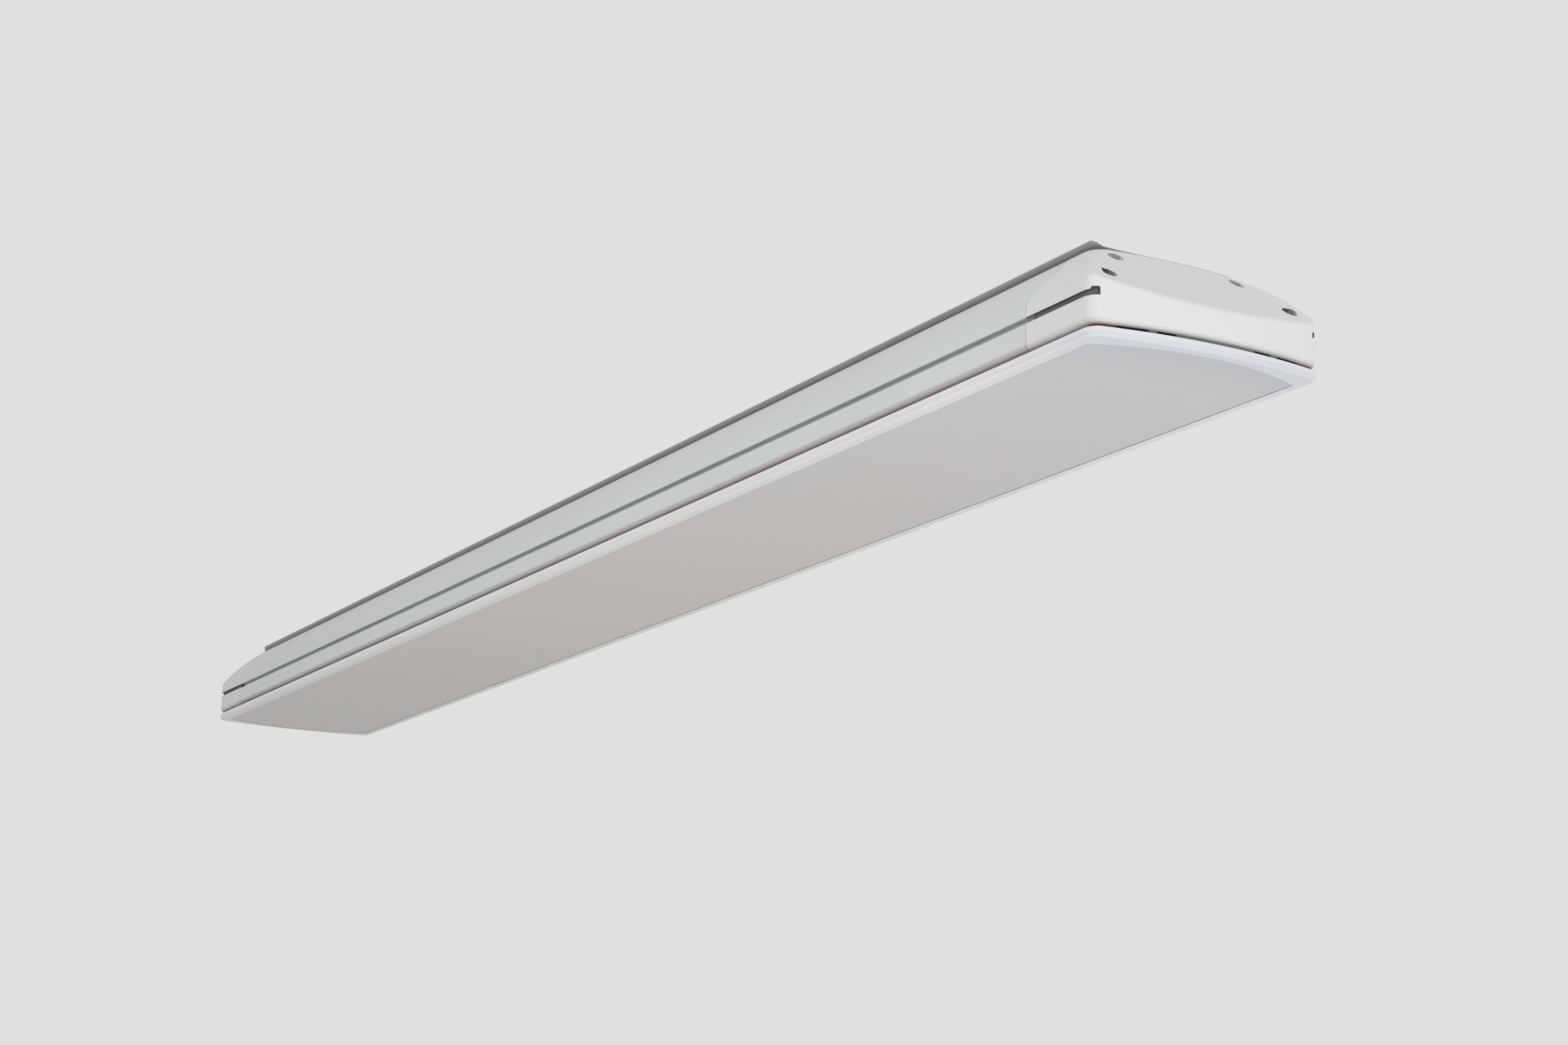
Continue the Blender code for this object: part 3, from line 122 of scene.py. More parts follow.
# Front frame and glass
FRAME_EDGE = 0.0025
FRAME_WALL = 0.008
FRAME_CHAMFER = 0.0004
GLASS_HALF_WIDTH = 0.085
GLASS_APEX = 0.895
GLASS_BOW = 0.2045
GLASS_CORNER = 0.0015
GLASS_EDGE = 0.0005
GLASS_FIT = 0.0002
GLASS_ROOM = 0.0001
GLASS_SETBACK = 0.0002
GLASS_CORNER_PLACE = 0.878
GAP_CORNER = 0.074

# Screw heads, in shares of their radius and height
DOME_FALL = 0.45
CROSS_WIDTH = 0.14
CROSS_LENGTH = 0.62
CROSS_DEPTH = 0.6

# Rear cover, hangers and terminal cover
COVER_RIM_NEAR = 0.841
COVER_RIM_FAR = 0.834
COVER_EAR = 0.005
COVER_CORNER = 0.002
COVER_WALL = 0.002
COVER_ROUND = 0.0012
BOLT_SPREAD = 0.788
HANGER_PLACE = 0.450
SLOT_LENGTH = 0.3246
SLOT_WIDTH = 0.0126
SLOT_CORNER = 0.0006
SHOE_LENGTH = 0.024
SHOE_WIDTH = 0.030
SHOE_GAP = 0.0004
SHOE_FLOOR = 0.0012
NECK_RISE = 0.0006
POST_RADIUS = 0.005
THREAD_PITCH = 0.0015
THREAD_DEPTH = 0.0008
NUT_RADIUS = 0.0098
NUT_HEIGHT = 0.0065
NUT_BORE = 0.0052
PLATE_SIZE = (0.080, 0.036, 0.003)
PLATE_CORNER = 0.006
PLATE_EDGE = 0.0005
PLATE_HOLE = 0.0035
PLATE_HOLE_PLACE = 0.028
TERMINAL_PLACE = 0.700
TERMINAL_SIZE = (0.130, 0.064, 0.014)
TERMINAL_CORNER = 0.004
TERMINAL_WALL = 0.0016
TERMINAL_EDGE = 0.0014
TERMINAL_ROOM = 0.104
TERMINAL_SCREW = 0.056
WIRE_HOLE = 0.009
GLAND_PLACE = (0.635, 0.016, -0.0147)
GLAND_RADIUS = 0.0064
GLAND_LENGTH = 0.022
GLAND_ENTRY = 0.0145
GLAND_THREAD = 0.0052
GLAND_BORE = 0.0035
GLAND_PORT = (-0.002, 0.017)
OVERCUT = 0.001

# Fineness of the grids
CORNER_STEPS = 14
BOW_STEPS = 44
ROUND_STEPS = 48
THREAD_STEPS = 24
GLAND_STEPS = 96
HEAD_RINGS = 14
FILLET_STEPS = 8
SHARP_TURN = math.radians(34)

FLANK_SLOPE = (HOUSING_TOP - SHOULDER) / (HALF_WIDTH - HALF_TOP)
CAP_LEAN = math.atan(CAP_SLOPE)
TURNS = {"right": 0.0, "left": math.pi}
HANGERS = {"left": -HANGER_PLACE, "right": HANGER_PLACE}

# Ends in plan: half width, apex, radius of the bow and radius of the corners
BODY_END = (HALF_WIDTH, APEX, END_BOW, PLAN_CORNER)
TOP_END = (HALF_TOP, CAP_TOP_END, CAP_TOP_BOW, CAP_TOP_CORNER)
PANE_END = (GLASS_HALF_WIDTH, GLASS_APEX, GLASS_BOW, GLASS_CORNER)

# Screws: the head's seat, height and radius, the shank's radius and the level of its tip
TERMINAL_TOP = COVER_TOP + GAP + TERMINAL_SIZE[2]
SCREWS = {
    "cap": (GAP - RECESS_DEPTH, 0.0018, 0.0043, 0.002, -0.0187),
    "cover": (COVER_TOP + GAP, 0.0025, 0.0045, 0.0022, -0.0334),
    "terminal": (TERMINAL_TOP + GAP, 0.0016, 0.0032, 0.0015, COVER_TOP - COVER_WALL),
}

# Where the painted light and shade change, each between a pair of places
HEM_SHADE = (HOUSING_BOTTOM + 0.0034, HOUSING_BOTTOM + 0.0047)
END_WALL = (0.8900, 0.8957)
END_WALL_TOP = (-0.0030, -0.0008)
GLASS_EDGES = (0.050, 0.086)
GLASS_COOL_LIGHT = (0.25, 0.90)
GLASS_END = (0.82, 0.89)
FRAME_END = (0.80, 0.90)
FRAME_RIM = (-0.1062, -0.1038)

# Studio, with each lamp's place, target, size and power
FLOOR_LEVEL = -2.4
FLOOR_REACH = 60.0
AMBIENT = 0.455
BACKDROP = 0.745
BACKDROP_SHARE = 0.6
CAMERA_PLACE = (2.27058, -1.08644, -0.6583)
CAMERA_ANGLES = (150.875, 13.9987, 1.2177)
CAMERA_LENS = 62.75
LAMPS = {
    "end": ((3.4, 0.9, -0.2), (0.9, 0.0, -0.1), 1.6, 16.5),
    "side": ((0.7, -2.2, 0.0), (0.4, 0.0, -0.1), 1.6, 12.0),
    "below": ((1.4, -0.3, -2.0), (0.5, 0.0, -0.1), 1.6, 16.4),
    "top": ((2.2, -0.4, 1.4), (0.9, 0.0, -0.05), 1.6, 7.5),
    "back": ((-1.8, 2.6, 0.7), (0.0, 0.0, -0.06), 2.0, 24.0),
}


# Outlines and profiles


def arc(centre, radius, start, end, steps):
    """Points of an arc: the centre plus radius times (cosine, sine) of evenly spaced angles."""
    angle = np.linspace(start, end, steps + 1)
    return np.asarray(centre) + radius * np.column_stack((np.cos(angle), np.sin(angle)))


def bowed_end(half_width, apex, bow, corner):
    """Right-hand end in plan: an arc of the bow's radius between two fillets tangent to it."""
    middle = apex - bow
    across = half_width - corner
    along = middle + math.sqrt((bow - corner) ** 2 - across**2)
    swing = math.atan2(across, along - middle)
    near = arc((along, -across), corner, -math.pi / 2, -swing, CORNER_STEPS)
    front = arc((middle, 0), bow, -swing, swing, BOW_STEPS)
    far = arc((along, across), corner, swing, math.pi / 2, CORNER_STEPS)
    return np.vstack((near, front[1:-1], far))


def both_ends(end):
    """Closed outline of the bar: the right-hand end, then the same end turned half round."""
    return np.vstack((end, -end))


def set_in(end, inset, least=None):
    """An end in plan, set in by a distance, its corners no sharper than a least radius."""
    half_width, apex, bow, corner = (size - inset for size in end)
    return bowed_end(half_width, apex, bow, corner if least is None else max(corner, least))


def body_outline(inset):
    """Outline of the whole bar, set in by a distance."""
    return both_ends(set_in(BODY_END, inset))


def glass_outline(outset):
    """Outline of the glass, grown by a distance."""
    return both_ends(set_in(PANE_END, -outset, EDGE))


def edge_round(radius, steps):
    """Insets and drops along a rounded edge, from its side on to its face.

    They are the radius times 1 less the cosine, and times 1 less the sine, of even angles
    up to a quarter turn.
    """
    angle = np.linspace(0, math.pi / 2, steps + 1)
    return list(zip(radius * (1 - np.cos(angle)), radius * (1 - np.sin(angle))))


def rounded(corners, radii, steps=FILLET_STEPS):
    """Closed polygon with each corner turned into an arc of its own radius.

    The arc's centre lies on the corner's bisector at radius / sin(half angle), and its
    points swing evenly from one tangent point to the other.
    """
    corners = np.asarray(corners, float)
    radii = np.broadcast_to(np.asarray(radii, float), len(corners))[:, None]
    back = np.roll(corners, 1, axis=0) - corners
    ahead = np.roll(corners, -1, axis=0) - corners
    back /= np.linalg.norm(back, axis=1, keepdims=True)
    ahead /= np.linalg.norm(ahead, axis=1, keepdims=True)
    half = np.arccos(np.clip((back * ahead).sum(1, keepdims=True), -1, 1)) / 2
    bisector = back + ahead
    bisector /= np.linalg.norm(bisector, axis=1, keepdims=True)
    centre = corners + bisector * radii / np.sin(half)
    start = corners + back * radii / np.tan(half) - centre
    end = corners + ahead * radii / np.tan(half) - centre
    swing = (math.pi - 2 * half)[:, :, None]
    share = np.linspace(0, 1, steps + 1)[None, :, None]
    weights = np.sin((1 - share) * swing), np.sin(share * swing)
    turned = (weights[0] * start[:, None] + weights[1] * end[:, None]) / np.sin(swing)
    return (centre[:, None] + turned).reshape(-1, 2)


def box_outline(length, width, radius, centre=(0, 0)):
    """Rectangle with rounded corners about a centre."""
    x, y = length / 2, width / 2
    return rounded([(-x, -y), (x, -y), (x, y), (-x, y)], radius) + np.asarray(centre)


def mirrored(half):
    """Closed profile: half of it from the middle out and back, then its mirror image."""
    half = np.asarray(half, float)
    return np.vstack((half, half[::-1] * (-1, 1)))


# Meshes from grids


def skin(name, grid, closed=False):
    """Mesh over a grid of points (row, column, xyz), each row a closed ring.

    Quads join neighbouring points. The rows close into a loop, or else the first and last
    ring are filled. Doubles are merged and the faces turned outwards.
    """
    rows, columns, _ = grid.shape
    index = np.arange(rows * columns).reshape(rows, columns)
    index = np.hstack((index, index[:, :1]))
    if closed:
        index = np.vstack((index, index[:1]))
    corners = (index[:-1, :-1], index[:-1, 1:], index[1:, 1:], index[1:, :-1])
    faces = np.stack(corners, axis=-1).reshape(-1, 4).tolist()
    if not closed:
        faces += [index[0, :-1].tolist(), index[-1, :-1][::-1].tolist()]
    mesh = bpy.data.meshes.new(name)
    mesh.from_pydata(grid.reshape(-1, 3).tolist(), [], faces)
    return tidy(mesh)


def tidy(mesh, merge=1e-6):
    """Merge doubled points, point the faces outwards and mark the sharp edges."""
    shape = bmesh.new()
    shape.from_mesh(mesh)
    bmesh.ops.remove_doubles(shape, verts=shape.verts, dist=merge)
    bmesh.ops.dissolve_degenerate(shape, dist=merge, edges=shape.edges)
    bmesh.ops.recalc_face_normals(shape, faces=shape.faces)
    shape.to_mesh(mesh)
    shape.free()
    mesh.shade_smooth()
    mesh.set_sharp_from_angle(angle=SHARP_TURN)
    return mesh


def stacked(rings):
    """Grid from plan outlines and their levels: each ring is an outline lifted to its z."""
    rows = [np.column_stack((outline, np.full(len(outline), z))) for outline, z in rings]
    return np.stack(rows)


def upright(name, outline, low, high):
    """A plan outline carried straight up from low to high."""
    return skin(name, stacked([(outline, low), (outline, high)]))


def extruded(name, profile, low, high):
    """A closed (y, z) profile carried straight along X from low to high."""
    rows = [np.column_stack((np.full(len(profile), x), profile)) for x in (low, high)]
    return skin(name, np.stack(rows))


def full_turn(steps):
    """Even angles once round."""
    return np.arange(steps) * 2 * math.pi / steps


def spun(radius, angle, height):
    """Grid about the Z axis: radius times (cosine, sine) of the angle, and the height."""
    radius, angle, height = np.broadcast_arrays(radius, angle, height)
    return np.stack((radius * np.cos(angle), radius * np.sin(angle), height), axis=-1)


def turned(name, radii, heights, steps=ROUND_STEPS, closed=False, shape=None):
    """Surface of revolution: ring i has radius radii[i] at heights[i], about the Z axis.

    shape, if given, multiplies the radius by a function of (ring number, angle), which
    makes flats and ribs.
    """
    angle = full_turn(steps)
    radius = np.asarray(radii, float)[:, None]
    if shape is not None:
        radius = radius * shape(np.arange(len(radii))[:, None], angle)
    return skin(name, spun(radius, angle, np.asarray(heights, float)[:, None]), closed=closed)


def placed(mesh, matrix):
    """Move a mesh's points to their place."""
    mesh.transform(matrix)
    return mesh


def put(name, data):
    """New object in the scene, at the origin."""
    made = bpy.data.objects.new(name, data)
    bpy.context.scene.collection.objects.link(made)
    return made


def add(name, mesh, finish, *nodes, body="heater", slot=None):
    """Put a piece in the scene: its finish, the body it rides on, the nodes it stands for.

    slot is the record's name for the finish, where it isn't the finish's own. It is not used.
    """
    piece = put(name, mesh)
    mesh.materials.clear()
    mesh.materials.append(FINISHES[finish])
    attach(piece, body)
    if nodes:
        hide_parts(*nodes)
    return piece


def even_shading(piece):
    """Let the large faces keep their own shading, so that only the fillets turn."""
    step = piece.modifiers.new("even_shading", "WEIGHTED_NORMAL")
    step.keep_sharp = True
    return piece


def cut(piece, *tools, inside=None):
    """Cut closed tool meshes out of a piece and keep the result as its mesh.

    inside names the finish of the faces that the tools leave, where it is neither a tool's
    own nor the piece's.
    """
    finish = FINISHES[inside] if inside else piece.data.materials[0]
    for tool in tools:
        if not tool.materials:
            tool.materials.append(finish)
        cutter = put("cutter", tool)
        step = piece.modifiers.new("cut", "BOOLEAN")
        step.solver = "EXACT"
        step.material_mode = "TRANSFER"
        step.object = cutter
        bpy.context.view_layer.update()
        shown = piece.evaluated_get(bpy.context.evaluated_depsgraph_get())
        result = bpy.data.meshes.new_from_object(shown)
        piece.modifiers.clear()
        bpy.data.objects.remove(cutter, do_unlink=True)
        piece.data = tidy(result)
    return piece


def face_values(mesh, name):
    """Centres or normals of a mesh's faces, one row for each."""
    values = np.empty(len(mesh.polygons) * 3)
    mesh.polygons.foreach_get(name, values)
    return values.reshape(-1, 3)


def paint(piece, finish, chosen):
    """Give another finish to the faces that a test of their centres and normals picks."""
    faces = piece.data.polygons
    slots = np.empty(len(faces), np.int32)
    faces.foreach_get("material_index", slots)
    picked = chosen(face_values(piece.data, "center"), face_values(piece.data, "normal"))
    slots[picked] = len(piece.data.materials)
    piece.data.materials.append(FINISHES[finish])
    faces.foreach_set("material_index", slots)


def in_groove(centres, normals):
    """Faces of the housing's side groove: those that lie under the skin of its wall."""
    low = HOUSING_BOTTOM + GROOVE_RISE - EDGE
    high = HOUSING_BOTTOM + GROOVE_RISE + GROOVE_OPENING + EDGE
    side = abs(centres[:, 1])
    inside = (side < HALF_WIDTH - EDGE / 2) & (side > HALF_WIDTH - GROOVE_DEPTH - EDGE)
    return inside & (centres[:, 2] > low) & (centres[:, 2] < high)


def on_lip(centres, normals):
    """Faces that look down into the shadow gap."""
    return (centres[:, 2] < HOUSING_BOTTOM + EDGE / 4) & (normals[:, 2] < -LEVEL_FACE)


def on_end_lip(centres, normals):
    """Faces that look into the shadow gap across the bowed ends, with the turn of the hem."""
    end = abs(centres[:, 0]) > GLASS_CORNER_PLACE
    return end & (centres[:, 2] < HOUSING_BOTTOM + EDGE) & (normals[:, 2] < -TURNING_FACE)


def on_bezel_top(centres, normals):
    """Faces of the bezel that look up into the shadow gap."""
    return centres[:, 2] > FRAME_TOP - EDGE / 4


def on_bezel_end(centres, normals):
    """Faces of the bezel's upper edge across the bowed ends."""
    x, _, z = centres.T
    return (z > FRAME_TOP - FRAME_CHAMFER) & (abs(x) > GLASS_CORNER_PLACE)


def at_corners(chosen):
    """The same choice of faces, kept to the plan's corners."""
    return lambda centres, normals: chosen(centres, normals) & (abs(centres[:, 1]) > GAP_CORNER)


def on_glass_joint(centres, normals):
    """Faces of the bezel's chamfer towards the glass."""
    x, y, z = centres.T
    bow = APEX - END_BOW + np.sqrt(END_BOW**2 - y**2)
    within = (abs(y) < GLASS_HALF_WIDTH + FRAME_EDGE / 2) & (abs(x) < bow - FRAME_EDGE)
    return within & (z < FRONT + FRAME_CHAMFER) & (normals[:, 2] > -TILTED_FACE)


def at_seam(centres, normals):
    """Faces that close the housing or a cap off at a seam."""
    return (abs(abs(centres[:, 0]) - SEAM) < 2 * GAP) & (abs(normals[:, 0]) > SEAM_FACE)


def drill(x, y, low, high, radius):
    """Upright cylinder used as a cutting tool."""
    mesh = turned("drill", [radius, radius], [low, high])
    return placed(mesh, Matrix.Translation((x, y, 0)))


# Materials


def add_node(tree, kind, inputs=None, **settings):
    """Add a node to a tree, with its settings, and link or set its inputs."""
    made = tree.nodes.new(kind)
    for key, value in settings.items():
        setattr(made, key, value)
    for key, value in (inputs or {}).items():
        if isinstance(value, bpy.types.NodeSocket):
            tree.links.new(value, made.inputs[key])
        else:
            made.inputs[key].default_value = value
    return made


class Graph:
    """Small helper that adds and links shader nodes of one material."""

    def __init__(self, name):
        self.material = bpy.data.materials.new(name)
        self.material.use_nodes = True
        self.tree = self.material.node_tree
        self.shader = self.tree.nodes["Principled BSDF"]
        place = self.tree.nodes.new("ShaderNodeTexCoord")
        self.position = place.outputs["Object"]

    def node(self, kind, inputs=None, **settings):
        """Add a node to the material."""
        return add_node(self.tree, kind, inputs, **settings)

    def noise(self, scale, stretch=(1, 1, 1), detail=3.0):
        """Noise on Object coordinates, stretched along its axes."""
        where = self.node("ShaderNodeMapping", {"Vector": self.position, "Scale": stretch})
        made = self.node(
            "ShaderNodeTexNoise",
            {"Vector": where.outputs["Vector"], "Scale": scale, "Detail": detail},
        )
        return made.outputs["Fac"]

    def ranged(self, value, low, high, start=0.3, end=0.7):
        """Carry a value from start..end over to low..high."""
        made = self.node(
            "ShaderNodeMapRange",
            {"Value": value, "From Min": start, "From Max": end, "To Min": low, "To Max": high},
        )
        return made.outputs["Result"]

    def blend(self, share, first, second):
        """Mix two colours by a share."""
        tones = (
            tone if isinstance(tone, bpy.types.NodeSocket) else (*tone, 1.0)
            for tone in (first, second)
        )
        inputs = dict(zip((0, 6, 7), (share, *tones)))
        return self.node("ShaderNodeMix", inputs, data_type="RGBA").outputs[2]

    def colour(self, value):
        """Link the shader's base colour."""
        self.tree.links.new(value, self.shader.inputs["Base Color"])

    def bump(self, height, strength, distance):
        """Link a bump to the shader's normal."""
        made = self.node(
            "ShaderNodeBump", {"Height": height, "Strength": strength, "Distance": distance}
        )
        self.tree.links.new(made.outputs["Normal"], self.shader.inputs["Normal"])

    def set(self, **values):
        """Set plain values on the shader's own sockets."""
        for key, value in values.items():
            self.shader.inputs[key.replace("_", " ")].default_value = value

    def axes(self):
        """The three Object coordinates, each as a value of its own."""
        apart = self.node("ShaderNodeSeparateXYZ", {"Vector": self.position})
        return apart.outputs["X"], apart.outputs["Y"], apart.outputs["Z"]

    def math(self, operation, *values):
        """Work out one operation on values or sockets."""
        made = self.node("ShaderNodeMath", dict(enumerate(values)), operation=operation)
        return made.outputs[0]

    def clouded(self, low, high, patch=9.0):
        """Colour that drifts between two tones, with so many patches per metre."""
        return self.blend(self.ranged(self.noise(patch), 0.0, 1.0), low, high)

    def relief(self, grain, rough, height, stretch=(1, 1, 1), strength=0.6):
        """Fine relief of a height in metres, so fine per metre, with gloss that follows it."""
        fine = self.noise(grain, stretch)
        self.tree.links.new(self.ranged(fine, *rough), self.shader.inputs["Roughness"])
        self.bump(fine, strength, height)

    def hem_share(self):
        """How much a point belongs to the shaded hem, from its height over the lower edge."""
        return self.ranged(self.axes()[2], 1.0, 0.0, *HEM_SHADE)


def grained(
    name, low, high, rough, grain=900.0, bump=0.00002, stretch=(1, 1, 1), patch=9.0, **sockets
):
    """Finish with cloudy colour between two tones, uneven gloss and a fine relief.

    grain is the relief's fineness per metre and bump its height in metres.
    """
    graph = Graph(name)
    graph.colour(graph.clouded(low, high, patch))
    graph.relief(grain, rough, bump, stretch)
    graph.set(**sockets)
    return graph.material


def housing_paint():
    """White coat of the housing, with painted shade round its lower hem, browner and darker there.
    """
    graph = Graph("white_paint")
    wall = graph.clouded((0.760, 0.795, 0.785), (0.785, 0.818, 0.810))
    # Painted shade: the hem turns browner and darker towards the lower edge
    graph.colour(graph.blend(graph.hem_share(), wall, (0.608, 0.586, 0.570)))
    graph.relief(grain=1500.0, rough=(0.40, 0.50), height=0.00003)
    return graph.material


def cap_moulding():
    """White moulding of the caps, with painted light on the end wall and painted shade at the hem.

    The end wall is where |X| passes the plan's corner, below the plane of the slope, on
    which Z plus the slope's fall times |X| is constant.
    """
    graph = Graph("white_moulding")
    x, _, z = graph.axes()
    out = graph.math("ABSOLUTE", x)
    below = graph.math("MULTIPLY_ADD", out, CAP_SLOPE, z)
    plane = HOUSING_TOP + CAP_SLOPE * CAP_TOP_END
    reach = graph.ranged(out, 0.0, 1.0, *END_WALL)
    under = graph.ranged(below, 1.0, 0.0, *(plane + rise for rise in END_WALL_TOP))
    side = graph.clouded((0.845, 0.828, 0.832), (0.865, 0.850, 0.853))
    # Painted light: the end wall below the slope's plane is lighter and cooler
    wall = graph.blend(graph.math("MULTIPLY", reach, under), side, (0.897, 0.904, 0.898))
    # Painted shade at the hem, weaker on the end wall
    fading = graph.math("MULTIPLY_ADD", reach, -0.7, 1.0)
    hem = graph.math("MULTIPLY", graph.hem_share(), fading)
    graph.colour(graph.blend(hem, wall, (0.730, 0.722, 0.712)))
    graph.relief(grain=2200.0, rough=(0.42, 0.54), height=0.00002)
    return graph.material


def frosted_glass():
    """Satin glass, with painted cool light: bluer towards its right-hand end and along its edges
    there.
    """
    graph = Graph("frosted_glass")
    x, y, _ = graph.axes()
    # Painted light: bluer along the edges towards the right-hand end, and over that end
    edge = graph.ranged(graph.math("ABSOLUTE", y), 0.35, 1.0, *GLASS_EDGES)
    edge_light = graph.math("MULTIPLY", edge, graph.ranged(x, 0.0, 1.0, *GLASS_COOL_LIGHT))
    middle = graph.clouded((0.715, 0.680, 0.655), (0.728, 0.694, 0.669), patch=5.0)
    sides = graph.blend(edge_light, middle, (0.690, 0.700, 0.735))
    end = graph.ranged(x, 0.0, 1.0, *GLASS_END)
    graph.colour(graph.blend(end, sides, (0.648, 0.650, 0.694)))
    graph.relief(grain=2600.0, rough=(0.30, 0.40), height=0.00002, strength=0.25)
    graph.set(IOR=1.5, Coat_Weight=0.25, Coat_Roughness=0.18)
    return graph.material


def frame_paint():
    """White coat of the bezel, with painted light: cooler at its right-hand end and lighter by the
    gap.
    """
    graph = Graph("frame_paint")
    x, _, z = graph.axes()
    along = graph.ranged(x, 0.0, 1.0, *FRAME_END)
    long_side = graph.clouded((0.855, 0.855, 0.850), (0.880, 0.880, 0.875))
    front = graph.blend(along, long_side, (0.770, 0.797, 0.845))
    # Painted light: the side's upper part by the gap is lighter
    rim = graph.blend(along, (0.945, 0.937, 0.925), (0.870, 0.895, 0.930))
    graph.colour(graph.blend(graph.ranged(z, 0.0, 1.0, *FRAME_RIM), front, rim))
    graph.relief(grain=1500.0, rough=(0.38, 0.48), height=0.00003)
    return graph.material


def tray_metal():
    """Dark coated metal, with painted shade at the tray's foot and a painted highlight at its rim.
    """
    graph = Graph("tray_metal")
    rise = graph.ranged(graph.axes()[2], 0.0, 1.0, HOUSING_TOP, COVER_TOP)
    foot = graph.clouded((0.045, 0.048, 0.048), (0.055, 0.058, 0.058), patch=30.0)
    rim = graph.clouded((0.400, 0.405, 0.405), (0.430, 0.435, 0.435), patch=30.0)
    # Painted shade at the foot, painted highlight at the rim
    graph.colour(graph.blend(rise, foot, rim))
    graph.relief(grain=1400.0, rough=(0.40, 0.52), height=0.00003)
    return graph.material


def braided_sleeve():
    """Sleeve of glass yarn: two crossing sets of fine bands darken the colour and lift it."""
    graph = Graph("lead_sleeve")
    bands = []
    for slant in (0.8, -0.8):
        where = graph.node(
            "ShaderNodeMapping", {"Vector": graph.position, "Rotation": (0, 0, slant)}
        )
        wave = graph.node(
            "ShaderNodeTexWave", {"Vector": where.outputs["Vector"], "Scale": 420.0}
        )
        bands.append(wave.outputs["Fac"])
    both = graph.math("MULTIPLY", *bands)
    graph.colour(graph.blend(both, (0.20, 0.06, 0.04), (0.40, 0.15, 0.10)))
    graph.bump(both, strength=0.7, distance=0.0002)
    graph.set(Roughness=0.7)
    return graph.material


# Each finish by its two tones and its range of roughness, then its grain and relief where
# they aren't those of a face in shadow
GRAINED = {
    "black_rubber": ((0.016, 0.015, 0.015), (0.028, 0.026, 0.025), (0.70, 0.85), 1200.0, 0.00005),
    "dark_metal": ((0.105, 0.108, 0.108), (0.125, 0.128, 0.128), (0.38, 0.52), 1400.0, 0.00004),
    "steel": ((0.47, 0.47, 0.48), (0.58, 0.58, 0.58), (0.24, 0.42)),
    "bright_aluminium": ((0.76, 0.76, 0.78), (0.84, 0.84, 0.86), (0.10, 0.24), 1600.0, 0.00001),
    "quartz": ((0.72, 0.70, 0.66), (0.82, 0.80, 0.76), (0.12, 0.25), 700.0, 0.00001),
    "ceramic": ((0.78, 0.76, 0.70), (0.86, 0.84, 0.79), (0.55, 0.72), 1800.0, 0.00004),
    "blanket": ((0.66, 0.63, 0.57), (0.80, 0.77, 0.70), (0.90, 1.0), 420.0, 0.0006),
    "black_plastic": ((0.022, 0.022, 0.023), (0.034, 0.034, 0.035), (0.38, 0.55), 1700.0, 0.00004),
    "spacer": ((0.17, 0.15, 0.14), (0.21, 0.19, 0.18), (0.5, 0.6)),
    # Painted shade: the finishes below are dark colours put on faces in grooves, slots, joints,
    # recesses, the shadow gap and the seams
    "groove_shade": ((0.57, 0.60, 0.605), (0.60, 0.63, 0.635), (0.5, 0.6)),
    "cap_groove_shade": ((0.20, 0.22, 0.225), (0.23, 0.25, 0.255), (0.5, 0.6)),
    "slot_shade": ((0.135, 0.142, 0.146), (0.150, 0.158, 0.162), (0.5, 0.6)),
    "joint_shade": ((0.26, 0.27, 0.30), (0.30, 0.31, 0.34), (0.5, 0.6)),
    "pale_pocket_shade": ((0.50, 0.49, 0.49), (0.55, 0.54, 0.54), (0.6, 0.7)),
    "half_pocket_shade": ((0.29, 0.285, 0.285), (0.33, 0.325, 0.325), (0.6, 0.7)),
    "pocket_shade": ((0.10, 0.10, 0.10), (0.13, 0.13, 0.13), (0.6, 0.7)),
    "gap_shade": ((0.300, 0.220, 0.195), (0.360, 0.270, 0.245), (0.7, 0.8)),
    "corner_gap_shade": ((0.43, 0.26, 0.23), (0.50, 0.31, 0.28), (0.7, 0.8)),
    "deep_gap_shade": ((0.012, 0.010, 0.010), (0.190, 0.125, 0.110), (0.7, 0.8)),
    "seam_shade": ((0.060, 0.055, 0.055), (0.080, 0.072, 0.070), (0.7, 0.8)),
}
# What some of them set besides
MORE = {
    "steel": {"patch": 160.0, "Metallic": 1.0},
    "bright_aluminium": {"stretch": (0.02, 1.0, 1.0), "Metallic": 1.0},
    "quartz": {"Transmission_Weight": 0.6, "IOR": 1.46},
    "ceramic": {"patch": 300.0},
    "blanket": {"stretch": (0.3, 1.0, 1.0), "patch": 90.0},
    "deep_gap_shade": {"patch": 38.0},
}
FINISHES = {name: grained(name, *look, **MORE.get(name, {})) for name, look in GRAINED.items()}
FINISHES["white_paint"] = housing_paint()
FINISHES["white_moulding"] = cap_moulding()
FINISHES["frosted_glass"] = frosted_glass()
FINISHES["frame_paint"] = frame_paint()
FINISHES["tray_metal"] = tray_metal()
FINISHES["lead_sleeve"] = braided_sleeve()


# Shells of the heater


